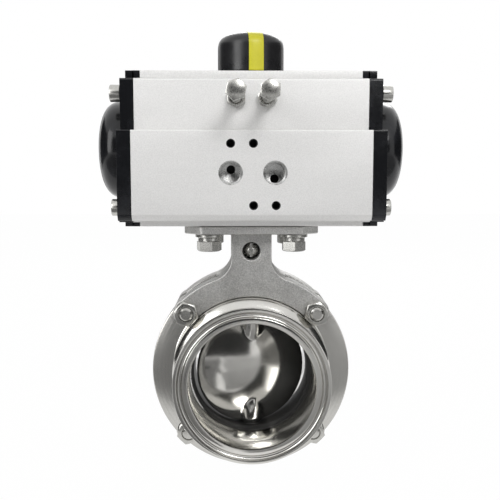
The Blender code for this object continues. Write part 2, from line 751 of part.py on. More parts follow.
def along_x(name, outline, low, high, look=None):
    """Extrude an outline given in Y and Z along X."""
    bm = bmesh.new()
    ends = [[bm.verts.new((x, y, z)) for y, z in outline] for x in (low, high)]
    count = len(outline)
    for k in range(count):
        n = (k + 1) % count
        bm.faces.new((ends[0][k], ends[0][n], ends[1][n], ends[1][k]))
    bm.faces.new(ends[0])
    bm.faces.new(list(reversed(ends[1])))
    return new_piece(name, bm, look, False)


def rails(name, low, high, sink=2.0):
    """The top and bottom rails as two blocks that sink into the main outline."""
    top = block(f"{name} top rail", (low, -TOP_RAIL_HALF, ACTUATOR_TOP - TOP_RAIL_H - sink),
                (high, TOP_RAIL_HALF, ACTUATOR_TOP))
    bottom = block(f"{name} bottom rail", (low, -BOTTOM_RAIL_HALF, ACTUATOR_BOTTOM),
                   (high, BOTTOM_RAIL_HALF, ACTUATOR_BOTTOM + BOTTOM_RAIL_H + sink))
    return top, bottom


def cap_screw_points():
    heights = (ACTUATOR_TOP - CAP_SCREW_DROP, ACTUATOR_BOTTOM + CAP_SCREW_LIFT)
    return [(sy * CAP_SCREW_Y, z) for z in heights for sy in (-1, 1)]


def actuator_body():
    """The extruded cylinder body with ports, bores and the stop pocket."""
    half = ACTUATOR_HALF_LENGTH
    body = along_x("actuator_body", section_outline(), -half, half, ANODISED)
    join(body, *rails("body", -half + RAIL_SETBACK, half - RAIL_SETBACK))
    cylinder = bore("cylinder bore", CYLINDER_R, -half - 2, half + 2, ROUND)
    place(cylinder, (0, 0, PISTON_AXIS), "X")
    lower_seat = bore("lower bearing seat", LOWER_JOURNAL_R + BEARING_T + 2 * GAP, ACTUATOR_BOTTOM - 2,
                     ACTUATOR_BOTTOM + BEARING_LENGTH + 2 * GAP, 16)
    shaft = bore("shaft bore", LOWER_JOURNAL_R + GAP, ACTUATOR_BOTTOM - 2, STOP_Z, 16)
    pocket_half = CAM_HALF_T + GAP
    pocket = bore("cam pocket", CAM_R + GAP, STOP_Z - pocket_half, STOP_Z + pocket_half, 20)
    upper_seat = bore("upper bearing seat", UPPER_JOURNAL_R + BEARING_T + 2 * GAP,
                     STOP_Z, ACTUATOR_TOP + 2, 16)
    recess = bore("indicator recess", INDICATOR_R + RECESS_ROOM, ACTUATOR_TOP - RECESS_DEPTH,
                  ACTUATOR_TOP + 2, ROUND)
    cut(body, cylinder, lower_seat, shaft, pocket, upper_seat, recess)
    for index, (x, rise) in enumerate(zip(PORT_X, PORT_FEED_RISE)):
        profile = [(0, -1), (PORT_MOUTH_R, -1), (PORT_MOUTH_R, 0.05),
                   (PORT_THREAD_R, PORT_MOUTH_R - PORT_THREAD_R + 0.1),
                   (PORT_THREAD_R, PORT_DEPTH), (0, PORT_DEPTH + 1.2)]
        port = place(turned(f"port {index}", profile, None, 14), (x, -PAD_FRONT, PORT_Z), "Y")
        feed = rod(f"port feed {index}", PORT_FEED_R, 1, PAD_FRONT - 8, 6)
        place(feed, (x, -PAD_FRONT, PORT_Z + rise), "Y")
        cut(body, port, feed)
    for index, (x, rise) in enumerate(PAD_HOLES):
        hole = bore(f"pad hole {index}", PAD_HOLE_R, -1, PAD_HOLE_DEPTH, 8)
        cut(body, place(hole, (x, -PAD_FRONT, PORT_Z + rise), "Y"))
    for index, side in enumerate((-1, 1)):
        hole = bore(f"stop hole {index}", STOP_BOLT_R + GAP, 2, UPPER_HALF + 2, 10)
        cut(body, place(hole, (side * STOP_X, 0, STOP_Z), "-Y"))
    for index, (x, y) in enumerate(MOUNT_POINTS):
        hole = bore(f"mount hole {index}", MOUNT_BOLT_R + GAP, -1, MOUNT_BOLT_DEPTH + 2, 8)
        cut(body, place(hole, (x, y, ACTUATOR_BOTTOM)))
    for side in (-1, 1):
        for index, (y, z) in enumerate(cap_screw_points()):
            hole = bore(f"screw hole {side} {index}", CAP_SCREW_R + GAP,
                       half - CAP_SCREW_REACH, half + 2, 6)
            cut(body, place(hole, (0, y, z), "X" if side > 0 else "-X"))
    return body


def dome_profile(radius, rise, base, steps=5):
    """Section of the cap's round bulge: nearly flat on top with a full round edge."""
    points = []
    for k in range(steps + 1):
        turn = math.pi / 2 * k / steps
        share = math.cos(turn) ** (2 / DOME_POWER)
        height = math.sin(turn) ** (2 / DOME_POWER)
        points.append((radius * share if k < steps else 0, base + rise * height))
    return points


def end_cap(name, side):
    """One end cap: a plate with the body's outline, a hollow round bulge and four screw holes."""
    low = ACTUATOR_HALF_LENGTH + GAP
    high = low + CAP_T
    toward = "X" if side > 0 else "-X"
    ends = (low, high) if side > 0 else (-high, -low)
    cap = along_x(name, section_outline(), *ends, BLACK_COATED)
    ribs = (low, high - 2.5)
    lips = (low - RAIL_SETBACK, low + 1)
    if side < 0:
        ribs = (-ribs[1], -ribs[0])
        lips = (-lips[1], -lips[0])
    join(cap, *rails(f"{name} ribs", *ribs), *rails(f"{name} lips", *lips, -GAP))
    profile = [(0, low + 2), (DOME_R, low + 2)] + dome_profile(DOME_R, DOME_RISE, high)
    dome = place(turned(f"{name} dome", profile, None, ROUND), (0, 0, PISTON_AXIS), toward)
    inner_r = DOME_R - CAP_WALL
    hollow_profile = [(0, low - 4), (inner_r, low - 4)]
    hollow_profile += dome_profile(inner_r, DOME_RISE - CAP_WALL, high)
    hollow = place(turned(f"{name} hollow", hollow_profile, None, 20), (0, 0, PISTON_AXIS), toward)
    join(cap, dome)
    cut(cap, hollow)
    for index, (y, z) in enumerate(cap_screw_points()):
        hole = bore(f"{name} screw hole {index}", CAP_SCREW_R + GAP, low - 4, high + 2, 6)
        cut(cap, place(hole, (0, y, z), toward))
    return cap


def cap_screws(prefix, side):
    """Four socket-head screws that hold one end cap."""
    count = 8
    made = []
    seat = ACTUATOR_HALF_LENGTH + 2 * GAP + CAP_T
    for index, (y, z) in enumerate(cap_screw_points(), 1):
        head = CAP_SCREW_HEAD_T
        rings = [
            (round_ring(CAP_SCREW_R, count), -CAP_T - CAP_SCREW_REACH + 4),
            (round_ring(CAP_SCREW_R, count), 0),
            (round_ring(CAP_SCREW_HEAD_R, count), 0),
            (round_ring(CAP_SCREW_HEAD_R, count), head - 0.5),
            (round_ring(CAP_SCREW_HEAD_R - 0.5, count), head),
            (round_ring(SOCKET_FLATS / 2, count), head),
            (round_ring(SOCKET_FLATS / 2, count), head - 3.0),
        ]
        screw = stacked(f"{prefix}_cap_screw_{index}", rings, FASTENER)
        made.append(place(screw, (side * seat, y, z), "X" if side > 0 else "-X"))
    return made


# Rack and pinion

def involute_gear_outline():
    """Outline of the pinion: involute flanks, slimmed for running clearance."""
    base = PITCH_R * math.cos(PRESSURE_ANGLE)
    tip = PITCH_R + 0.9 * MODULE
    root = PITCH_R - 1.2 * MODULE
    spread = math.tan(PRESSURE_ANGLE) - PRESSURE_ANGLE
    half_at_pitch = math.pi / 2 / TEETH * TOOTH_SHARE
    flank = []
    steps = 2
    for k in range(steps + 1):
        radius = base + (tip - base) * k / steps
        angle = math.acos(min(1.0, base / radius))
        flank.append((radius, half_at_pitch + spread - (math.tan(angle) - angle)))
    outline = []
    for tooth in range(TEETH):
        middle = 2 * math.pi * (tooth + 0.5) / TEETH
        side = [(root, flank[0][1])] + flank
        for radius, off in side:
            outline.append((radius * math.cos(middle - off), radius * math.sin(middle - off)))
        for radius, off in reversed(side):
            outline.append((radius * math.cos(middle + off), radius * math.sin(middle + off)))
    return outline


def pinion():
    """The drive shaft: lower journal with square socket, gear, upper journal and top end."""
    gear = prism("pinion", involute_gear_outline(), PISTON_AXIS - GEAR_HALF - 1, PISTON_AXIS + GEAR_HALF + 1,
                 TOOL_STEEL)
    foot = ACTUATOR_BOTTOM + 2 * GAP
    lower = rod("pinion lower journal", LOWER_JOURNAL_R, foot, PISTON_AXIS - GEAR_HALF, 16)
    shoulder = ACTUATOR_TOP + GAP
    groove = shoulder + RETAINER_T + 2 * GAP
    profile = [(0, PISTON_AXIS), (PITCH_R - 2 * MODULE, PISTON_AXIS),
               (PITCH_R - 2 * MODULE, PISTON_AXIS + GEAR_HALF),
               (UPPER_JOURNAL_R, PISTON_AXIS + GEAR_HALF),
               (UPPER_JOURNAL_R, shoulder), (SHAFT_TOP_R - 0.6, shoulder),
               (SHAFT_TOP_R - 0.6, groove), (SHAFT_TOP_R, groove),
               (SHAFT_TOP_R, ACTUATOR_TOP + SHAFT_TOP_RISE - 0.8),
               (SHAFT_TOP_R - 0.8, ACTUATOR_TOP + SHAFT_TOP_RISE),
               (0, ACTUATOR_TOP + SHAFT_TOP_RISE)]
    upper = turned("pinion upper shaft", profile, None, 16)
    flats = STEM_SQUARE + 2 * GAP
    socket = stacked("pinion socket", [(hex_ring(flats, 8, 4), foot - 2),
                                       (hex_ring(flats, 8, 4), STEM_TOP + GAP)])
    entry = bore("pinion entry", STEM_R + GAP, foot - 2, STEM_SQUARE_START + 1.0 + GAP, 12)
    slot = block("top slot", (-2.0, -SHAFT_TOP_R - 2, ACTUATOR_TOP + SHAFT_TOP_RISE - 4),
                 (2.0, SHAFT_TOP_R + 2, ACTUATOR_TOP + SHAFT_TOP_RISE + 2))
    join(gear, lower, upper)
    return cut(gear, socket, entry, slot)


def bearings():
    """The plastic sleeves the pinion turns in."""
    low = ACTUATOR_BOTTOM + GAP
    lower = tube("lower_shaft_bearing", LOWER_JOURNAL_R + GAP, LOWER_JOURNAL_R + GAP + BEARING_T,
                 low, low + BEARING_LENGTH, SLIDE_PLASTIC)
    high = STOP_Z + CAM_HALF_T + 2 * GAP
    upper = tube("upper_shaft_bearing", UPPER_JOURNAL_R + GAP, UPPER_JOURNAL_R + GAP + BEARING_T,
                 high, ACTUATOR_TOP - GAP, SLIDE_PLASTIC)
    return lower, upper


def retaining_ring():
    low = ACTUATOR_TOP + 2 * GAP
    return tube("retaining_ring", SHAFT_TOP_R - 0.6 + GAP, RETAINER_R, low, low + RETAINER_T, TOOL_STEEL, SMALL)


def stop_cam():
    """The ring that meets the travel stops: one flat for shut, one for open."""
    inner_end = 2.0
    outer_end = math.sqrt(CAM_R ** 2 - CAM_FLAT ** 2)
    start = math.atan2(-CAM_FLAT, outer_end)
    end = math.atan2(outer_end, -CAM_FLAT)
    low_r = math.hypot(inner_end, CAM_FLAT)
    back_start = math.atan2(inner_end, -CAM_FLAT)
    back_end = math.atan2(-CAM_FLAT, inner_end) + 2 * math.pi
    outline = arc((0, 0), CAM_R, start, end, 8)
    outline += arc((0, 0), low_r, back_start, back_end, 5)
    cam = prism("stop_cam", outline, STOP_Z - CAM_HALF_T, STOP_Z + CAM_HALF_T, TOOL_STEEL, True)
    hole = bore("cam hole", UPPER_JOURNAL_R + GAP, STOP_Z - 2 * CAM_HALF_T, STOP_Z + 2 * CAM_HALF_T, 16)
    return cut(cam, hole)


def rack_outline(head_face):
    """Top view of the left piston's rack arm, behind the pinion; its teeth face -Y."""
    pitch = math.pi * MODULE
    half = pitch / 4 * TOOTH_SHARE
    lean = math.tan(PRESSURE_ANGLE)
    tip = 0.9 * MODULE
    root = 1.2 * MODULE
    line = PITCH_R
    last = 6
    end = last * pitch + pitch * 0.75
    outline = [(end, line + root), (end, RACK_BACK), (head_face, RACK_BACK), (head_face, line + root)]
    for tooth in range(-2, last + 1):
        middle = tooth * pitch
        outline += [(middle - half - root * lean, line + root), (middle - half + tip * lean, line - tip),
                    (middle + half - tip * lean, line - tip), (middle + half + root * lean, line + root)]
    return outline


def piston(name, side):
    """One piston: a round head with a ring groove and a rack arm past the pinion."""
    outer = ACTUATOR_HALF_LENGTH - PISTON_OPEN_GAP - PISTON_TRAVEL
    inner = outer - PISTON_HEAD_T
    radius = CYLINDER_R - GAP
    floor = radius - 2 * RING_R - GAP
    mid = (outer + inner) / 2
    groove = RING_R + GAP
    profile = [(0, inner), (radius - 0.6, inner), (radius, inner + 0.6), (radius, mid - groove),
               (floor, mid - groove), (floor, mid + groove), (radius, mid + groove),
               (radius, outer - 0.6), (radius - 0.6, outer), (PITCH_R, outer), (PITCH_R - 2, outer - 4),
               (0, outer - 4)]
    head = turned(name, profile, ANODISED, 24)
    place(head, (0, 0, PISTON_AXIS), "-X" if side < 0 else "X")
    arm_outline = rack_outline(-inner - 2)
    if side > 0:
        arm_outline = [(-x, -y) for x, y in arm_outline]
    arm = prism(f"{name} rack", arm_outline, PISTON_AXIS - RACK_HALF, PISTON_AXIS + RACK_HALF)
    join(head, arm)
    ring = torus(f"{name}_ring", radius - RING_R, RING_R, RUBBER, 24, 4)
    place(ring, (side * mid, 0, PISTON_AXIS), "X")
    spots = sorted((-side * PITCH_R, -side * (PITCH_R + PAD_LENGTH)))
    faces = sorted((-side * (RACK_BACK + GAP), -side * PAD_REACH))
    pad = block(f"{name}_pad", (spots[0], faces[0], PISTON_AXIS - 5),
                (spots[1], faces[1], PISTON_AXIS + 5), SLIDE_PLASTIC)
    return head, ring, pad


# Travel stops

def travel_stop(side_name, side):
    """One stop bolt with its lock nut, screwed through the upper face against the cam."""
    x = side * STOP_X
    tip = CAM_FLAT + GAP
    head_seat = UPPER_HALF + STOP_OUT - STOP_HEAD_T
    bolt = hex_bolt(f"stop_bolt_{side_name}", STOP_HEAD_T, STOP_BOLT_R, head_seat - tip,
                    flats=STOP_FLATS)
    place(bolt, (x, -head_seat, STOP_Z), "-Y")
    nut = hex_nut(f"stop_nut_{side_name}", STOP_NUT_T, STOP_BOLT_R + GAP, flats=STOP_FLATS)
    place(nut, (x, -UPPER_HALF - GAP, STOP_Z), "-Y")
    return bolt, nut


# Position indicator

def indicator_profile(grow):
    """Outer section of the indicator from its top centre down to its lower edge."""
    base = ACTUATOR_TOP + INDICATOR_LIFT
    shoulder = base + INDICATOR_SIDE
    radius = INDICATOR_R + grow
    rise = INDICATOR_CROWN + grow
    steps = 5
    points = [(0, shoulder + rise)]
    for k in range(1, steps + 1):
        turn = math.pi / 2 * k / steps
        points.append((radius * math.sin(turn) ** (2 / CROWN_POWER),
                       shoulder + rise * max(0.0, math.cos(turn)) ** (2 / CROWN_POWER)))
    points.append((radius, base))
    return points


def arch(outside, inside, below=0.0):
    """A strap over the indicator, in Y and Z, between two offsets from its outer section."""
    outer = indicator_profile(outside)
    inner = indicator_profile(inside)
    outer[-1] = (outer[-1][0], outer[-1][1] - below)
    inner[-1] = (inner[-1][0], inner[-1][1] - below)
    over = [(-y, z) for y, z in reversed(outer[1:])] + outer
    under = [(y, z) for y, z in reversed(inner)] + [(-y, z) for y, z in inner[1:]]
    return over + under


def indicator():
    """The black indicator cap and the yellow stripe let into it."""
    outer = indicator_profile(0)
    base = outer[-1][1]
    room = SHAFT_TOP_R + GAP
    roof = ACTUATOR_TOP + SHAFT_TOP_RISE + GAP
    foot = ACTUATOR_TOP + RETAINER_T + 4 * GAP
    profile = outer + [(INDICATOR_R - INDICATOR_WALL, base), (INDICATOR_R - INDICATOR_WALL, roof - 4),
                       (room + 3, roof - 4), (room + 3, foot), (room, foot), (room, roof), (0, roof)]
    cap = turned("indicator_cap", profile, BLACK_PLASTIC, 24)
    wide = STRIPE_WIDTH / 2 + GAP
    cut(cap, along_x("stripe groove", arch(0.8, -STRIPE_T - GAP, 2.0), -wide, wide))
    half = STRIPE_WIDTH / 2
    stripe = along_x("indicator_stripe", arch(0.5, -STRIPE_T), -half, half, YELLOW_PLASTIC)
    shape = turned("stripe limit", outer + [(0, base)], None, 24)
    boolean(stripe, shape, "INTERSECT")
    return cap, stripe


# Assembly

def build():
    for old in list(bpy.data.objects):
        bpy.data.objects.remove(old)
    body_half("front_body_half", "-Y")
    body_half("rear_body_half", "Y")
    seat_ring()
    stem_bushes()
    actuator_bracket()
    neck_bush()
    stem_lock_screw()
    body_fasteners()
    mount_fasteners()
    actuator_body()
    bearings()
    for name, side in (("left", -1), ("right", 1)):
        end_cap(f"{name}_end_cap", side)
        cap_screws(name, side)
        travel_stop(name, side)
        slide = guide_frame(f"{name}_piston_axis", (side * PITCH_R * REST_OPEN, 0, 0))
        carry(slide, *piston(f"{name}_piston", side))
    spindle = guide_frame("spindle_axis", turn=REST_OPEN)
    carry(spindle, valve_disc(), stem(), pinion(), stop_cam(), retaining_ring())
    dial = guide_frame("indicator_axis", turn=REST_OPEN + STRIPE_TRIM)
    carry(dial, *indicator())


build()
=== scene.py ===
"""Looks of the pneumatic butterfly valve, laid out as an add-on and run as a script.

Lengths are in metres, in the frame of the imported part: X to the right, Y along the pipe
away from the front, Z up the spindle, with the origin in the middle of the pipe bore.
"""

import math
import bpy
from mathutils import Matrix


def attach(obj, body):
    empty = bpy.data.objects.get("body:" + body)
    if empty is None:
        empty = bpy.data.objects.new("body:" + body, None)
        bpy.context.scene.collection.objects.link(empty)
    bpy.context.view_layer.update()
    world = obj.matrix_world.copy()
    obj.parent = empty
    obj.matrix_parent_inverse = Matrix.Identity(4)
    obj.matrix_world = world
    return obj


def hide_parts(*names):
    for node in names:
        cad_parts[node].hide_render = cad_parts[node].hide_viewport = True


bl_info = {
    "name": "Pneumatic butterfly valve",
    "version": (1, 0, 0),
    "blender": (4, 5, 0),
    "location": "View3D > Sidebar > Valve",
    "description": "Dresses the packed valve with detailed pieces and materials",
    "category": "Object",
}

import bmesh
import bpy
from mathutils import Matrix, Vector

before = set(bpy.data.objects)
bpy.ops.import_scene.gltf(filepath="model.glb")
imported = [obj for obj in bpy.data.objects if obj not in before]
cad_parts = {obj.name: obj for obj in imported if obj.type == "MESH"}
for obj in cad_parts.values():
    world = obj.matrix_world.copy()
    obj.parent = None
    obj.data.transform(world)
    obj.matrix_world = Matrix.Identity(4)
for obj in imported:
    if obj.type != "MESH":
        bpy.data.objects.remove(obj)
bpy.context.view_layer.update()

MM = 0.001
FINEST = 128       # steps round the pipe ends and the domes
FINE = 96          # steps round a large circle
MEDIUM = 48        # steps round a bolt or a boss
GAP = 0.3 * MM     # clearance between pieces that touch
CRISP = math.radians(32)    # edges that turn further than this stay sharp

# Turns a piece built along +Z so that it points along another axis, local Y staying upright
FACING = {
    "Z": Matrix.Identity(4),
    "-Z": Matrix(((1, 0, 0, 0), (0, -1, 0, 0), (0, 0, -1, 0), (0, 0, 0, 1))),
    "-Y": Matrix(((1, 0, 0, 0), (0, 0, -1, 0), (0, 1, 0, 0), (0, 0, 0, 1))),
    "Y": Matrix(((-1, 0, 0, 0), (0, 0, 1, 0), (0, 1, 0, 0), (0, 0, 0, 1))),
    "X": Matrix(((0, 0, 1, 0), (1, 0, 0, 0), (0, 1, 0, 0), (0, 0, 0, 1))),
    "-X": Matrix(((0, 0, -1, 0), (-1, 0, 0, 0), (0, 1, 0, 0), (0, 0, 0, 1))),
}


def length(name, words, value):
    """A property for a length in metres."""
    return bpy.props.FloatProperty(name=name, description=words, default=value * MM, unit="LENGTH",
                                   precision=5)


def colour(name, words, value):
    """A property for a colour."""
    return bpy.props.FloatVectorProperty(name=name, description=words, default=value, subtype="COLOR",
                                         size=3, min=0.0, max=1.0)


class ValveSizes(bpy.types.PropertyGroup):
    """Sizes of the pipe end of the valve."""

    bore: length("Bore radius", "Inside radius of the pipe ends", 36.45)
    tube: length("Tube radius", "Outside radius of the pipe ends", 39.1)
    ferrule: length("Ferrule radius", "Outside radius of the clamp rims", 45.5)
    half_face: length("Half length", "From the middle of the valve to a ferrule face", 46.0)
    flange: length("Flange radius", "Outside radius of the two bolted flanges", 60.9)
    flange_t: length("Flange thickness", "Thickness of one flange", 6.5)
    hub: length("Hub radius", "Outside radius of the round hub before the flange", 47.6)
    lug_circle: length("Bolt circle radius", "Radius of the circle of the four body bolts", 54.5)
    lug: length("Lug radius", "Radius of the bosses round the body bolts", 8.0)
    leg: length("Leg reach", "From the middle to the outer face of the bracket's legs", 21.5)
    leg_radius: length("Leg outer radius", "Outer radius of the bracket's curved legs", 62.0)
    neck: length("Neck half width", "Half the width of the bracket's neck", 12.0)
    fillet: length("Neck fillet", "Radius where the neck runs out into the legs", 14.0)


class ActuatorSizes(bpy.types.PropertyGroup):
    """Sizes of the actuator."""

    half_length: length("Half length", "Half the length of the extruded body", 66.8)
    low: length("Lower face", "Height of the actuator's lower face", 90.8)
    high: length("Upper face", "Height of the actuator's upper face", 179.6)
    axis: length("Cylinder height", "Height of the cylinder's axis", 135.2)
    pad: length("Pad reach", "From the spindle axis to the front pad", 46.0)
    pad_top: length("Pad top", "Height of the front pad's upper edge", 144.8)
    pad_bottom: length("Pad bottom", "Height of the front pad's lower edge", 94.6)
    rail: length("Top rail height", "Height of the narrower step along the top of the body", 4.9)
    upper: length("Upper reach", "From the spindle axis to the upper front face", 30.7)
    dome: length("Dome radius", "Radius of the round bulge on an end cap", 29.2)
    dome_rise: length("Dome rise", "How far the bulge stands out of an end cap", 15.9)
    cap: length("Cap thickness", "Thickness of an end cap's plate", 7.6)
    setback: length("Rail setback", "How far the body's rails end before its ends", 3.0)
    stop_x: length("Stop bolt offset", "Distance of each stop bolt from the middle", 8.8)
    stop_z: length("Stop bolt height", "Height of the stop bolts", 163.3)
    dial: length("Indicator radius", "Radius of the position indicator", 19.8)
    stripe: length("Stripe width", "Width of the indicator's stripe", 8.7)


class ValveColours(bpy.types.PropertyGroup):
    """Base colours of the finishes."""

    polished: colour("Polished steel", "Machined and polished stainless steel", (0.66, 0.65, 0.62))
    blasted: colour("Blasted steel", "Bead-blasted stainless casting", (0.60, 0.595, 0.58))
    anodised: colour("Anodised body", "Silver anodised extrusion", (0.83, 0.825, 0.815))
    bare: colour("Cut aluminium", "Bare threads and bores in the body", (0.62, 0.62, 0.61))
    enamel: colour("Black enamel", "Coating of the end caps", (0.008, 0.0085, 0.010))
    fastener: colour("Fasteners", "Bright stainless bolts, nuts and washers", (0.52, 0.515, 0.49))
    shaft: colour("Shaft steel", "Plated steel inside the actuator", (0.36, 0.36, 0.37))
    rubber: colour("Rubber", "Seat ring and seals", (0.014, 0.014, 0.014))
    bearing: colour("Bearing plastic", "Bushes and slide pads", (0.70, 0.69, 0.64))
    # The indicator's black is also used as the painted shade that lines the feed and pad holes.
    dial: colour("Indicator", "Moulded cap of the indicator", (0.012, 0.012, 0.013))
    stripe: colour("Stripe", "Moulded stripe of the indicator", (0.64, 0.60, 0.03))
    floor: colour("Floor", "Floor under the valve", (0.93, 0.93, 0.93))


# Shader graphs

class Socket:
    """An output socket that can be used in arithmetic."""

    def __init__(self, graph, socket):
        self.graph = graph
        self.socket = socket

    def maths(self, operation, *values):
        return self.graph.node("ShaderNodeMath", {"operation": operation}, values)

    def __add__(self, other):
        return self.maths("ADD", self, other)

    def __radd__(self, other):
        return self.maths("ADD", other, self)

    def __mul__(self, other):
        return self.maths("MULTIPLY", self, other)

    def __rmul__(self, other):
        return self.maths("MULTIPLY", other, self)

    def __pow__(self, other):
        return self.maths("POWER", self, other)


class Graph:
    """The node tree of one material around its Principled shader."""

    def __init__(self, name, roughness, metallic, **constants):
        self.material = bpy.data.materials.new(name)
        self.material.use_nodes = True
        self.tree = self.material.node_tree
        self.shader = self.tree.nodes["Principled BSDF"]
        self.shader.inputs["Roughness"].default_value = roughness
        self.shader.inputs["Metallic"].default_value = metallic
        for label, value in constants.items():
            self.shader.inputs[label.replace("_", " ").title()].default_value = value

    def node(self, kind, settings=None, values=(), output=0):
        """Add a node with its settings, then feed its sockets by order or by name."""
        made = self.tree.nodes.new(kind)
        for key, value in (settings or {}).items():
            setattr(made, key, value)
        pairs = values.items() if isinstance(values, dict) else enumerate(values)
        for key, value in pairs:
            self.feed(made.inputs[key], value)
        return Socket(self, made.outputs[output])

    def feed(self, target, value):
        if isinstance(value, Socket):
            self.tree.links.new(value.socket, target)
        elif value is not None:
            target.default_value = value

    def place(self):
        """Coordinates fixed to the piece, in metres."""
        return self.node("ShaderNodeTexCoord", output=3)

    def split(self, vector, axis):
        return self.node("ShaderNodeSeparateXYZ", None, [vector], axis)

    def join(self, x, y, z):
        return self.node("ShaderNodeCombineXYZ", None, [x, y, z])

    def noise(self, vector, scale, detail=2.0, roughness=0.5):
        values = {"Vector": vector, "Scale": scale, "Detail": detail, "Roughness": roughness}
        return self.node("ShaderNodeTexNoise", None, values)

    def blend(self, first, second, share):
        settings = {"data_type": "RGBA"}
        return self.node("ShaderNodeMix", settings, {0: share, 6: first, 7: second}, 2)

    def ramp(self, value, low, high):
        """Value rescaled so that low gives 0 and high gives 1."""
        settings = {"clamp": True}
        return self.node("ShaderNodeMapRange", settings, [value, low, high, 0.0, 1.0])

    def colour(self, value):
        self.feed(self.shader.inputs["Base Color"], value)

    def shades(self, shade, dark, light, value, low=0.3, high=0.7):
        """Base colour that runs from a darker to a lighter shade as a value rises."""
        self.colour(self.blend(solid(shade, dark), solid(shade, light), self.ramp(value, low, high)))

    def turning_marks(self, spot, across, along, detail, roughness):
        """Noise drawn out into rings round the pipe axis."""
        x = self.split(spot, 0)
        z = self.split(spot, 2)
        radius = (x * x + z * z) ** 0.5
        stretched = self.join(radius * across, self.split(spot, 1) * along, 0.0)
        return self.noise(stretched, 1.0, detail, roughness)

    def roughness(self, value):
        self.feed(self.shader.inputs["Roughness"], value)

    def relief(self, height, depth, strength):
        values = {"Strength": strength, "Distance": depth, "Height": height}
        self.feed(self.shader.inputs["Normal"], self.node("ShaderNodeBump", None, values))


def solid(shade, gain):
    """A property colour as four numbers, made lighter or darker."""
    return (*[min(1.0, channel * gain) for channel in shade], 1.0)


def polished_steel(shade):
    """Turned and polished stainless steel: fine rings round the pipe axis and soft clouding."""
    g = Graph("polished stainless steel", 0.14, 1.0)
    spot = g.place()
    rings = g.turning_marks(spot, 2600.0, 700.0, 3.0, 0.6)
    cloud = g.noise(spot, 38.0, 3.0)
    g.shades(shade, 0.86, 1.1, cloud)
    g.roughness(g.ramp(cloud, 0.2, 0.8) * 0.07 + g.ramp(rings, 0.3, 0.7) * 0.08 + 0.09)
    g.relief(rings, 0.00003, 0.5)
    return g.material


def brushed_steel(shade):
    """Flange faces, brushed in rings so that highlights spread across the radius."""
    g = Graph("ring-brushed stainless steel", 0.26, 1.0)
    spot = g.place()
    rings = g.turning_marks(spot, 3800.0, 900.0, 4.0, 0.7)
    cloud = g.noise(spot, 55.0, 2.0)
    g.shades(shade, 0.7, 0.95, rings, 0.25, 0.75)
    g.roughness(g.ramp(cloud, 0.2, 0.8) * 0.08 + 0.2)
    g.relief(rings, 0.00006, 0.8)
    return g.material


def disc_steel(shade):
    """Hand-polished casting: shallow waves that bend the reflections."""
    g = Graph("hand-polished casting", 0.3, 1.0)
    spot = g.place()
    waves = g.noise(spot, 42.0, 2.0, 0.45)
    scuffs = g.noise(spot, 900.0, 3.0, 0.6)
    g.shades(shade, 0.86, 1.1, waves)
    g.roughness(g.ramp(waves, 0.2, 0.8) * 0.07 + g.ramp(scuffs, 0.4, 0.8) * 0.03 + 0.1)
    g.relief(waves + scuffs * 0.002, 0.0006, 0.5)
    return g.material


def blasted_steel(shade):
    """Bead-blasted casting: an even fine dimple, with painted shade that makes its hollows slightly darker.
    """
    g = Graph("bead-blasted casting", 0.5, 1.0)
    spot = g.place()
    grain = g.noise(spot, 1500.0, 3.0, 0.7)
    patch = g.noise(spot, 70.0, 4.0, 0.6)
    # Colour darker where the dimples are low: painted shade in the hollows.
    g.shades(shade, 0.66, 1.3, patch * 0.3 + grain * 0.7, 0.36, 0.64)
    g.roughness(g.ramp(grain, 0.2, 0.8) * 0.16 + 0.4)
    g.relief(grain + patch * 1.5, 0.00008, 0.7)
    return g.material


def anodised_body(shade):
    """Blasted and anodised extrusion: pale, matte, with a fine glittering speckle."""
    g = Graph("silver anodised extrusion", 0.5, 0.5)
    spot = g.place()
    speckle = g.noise(spot, 1700.0, 3.0, 0.75)
    drawn = g.join(g.split(spot, 0) * 6.0, g.split(spot, 1) * 40.0, g.split(spot, 2) * 40.0)
    drift = g.noise(drawn, 1.0, 3.0)
    g.shades(shade, 0.86, 1.12, speckle * 0.75 + drift * 0.25)
    g.roughness(g.ramp(speckle, 0.25, 0.75) * 0.16 + 0.44)
    g.relief(speckle, 0.00007, 0.75)
    return g.material


def bare_cut(shade):
    """Bare machined aluminium inside ports and threaded holes."""
    g = Graph("cut aluminium", 0.3, 1.0)
    spot = g.place()
    marks = g.noise(spot, 1500.0, 3.0, 0.6)
    g.shades(shade, 0.7, 1.25, marks)
    g.roughness(g.ramp(marks, 0.3, 0.7) * 0.15 + 0.24)
    g.relief(marks, 0.00003, 0.4)
    return g.material


def black_enamel(shade):
    """Gloss coating with a faint orange peel and dust in it."""
    g = Graph("black enamel", 0.22, 0.0, coat_weight=0.25, coat_roughness=0.08)
    g.shader.inputs["Specular IOR Level"].default_value = 0.3
    spot = g.place()
    peel = g.noise(spot, 420.0, 2.0, 0.5)
    wear = g.noise(spot, 60.0, 4.0, 0.65)
    g.shades(shade, 1.0, 2.4, wear, 0.45, 0.75)
    g.roughness(g.ramp(wear, 0.3, 0.8) * 0.14 + 0.16)
    g.relief(peel, 0.00012, 0.35)
    return g.material


def bright_fastener(shade):
    """Cold-formed stainless fasteners, a little darker in the scuffs."""
    g = Graph("stainless fastener", 0.24, 1.0)
    spot = g.place()
    scuffs = g.noise(spot, 620.0, 4.0, 0.65)
    patch = g.noise(spot, 190.0, 2.0)
    g.shades(shade, 0.86, 1.1, scuffs * 0.5 + patch * 0.5, 0.32, 0.66)
    g.roughness(g.ramp(scuffs, 0.3, 0.7) * 0.08 + 0.2)
    g.relief(scuffs, 0.00003, 0.35)
    return g.material


def turned_steel(shade):
    """Stop bolts and neck screw: cleanly turned, satin."""
    g = Graph("satin stainless steel", 0.3, 1.0)
    scuffs = g.noise(g.place(), 900.0, 3.0, 0.6)
    g.shades(shade, 0.9, 1.12, scuffs)
    g.roughness(g.ramp(scuffs, 0.3, 0.7) * 0.06 + 0.24)
    return g.material


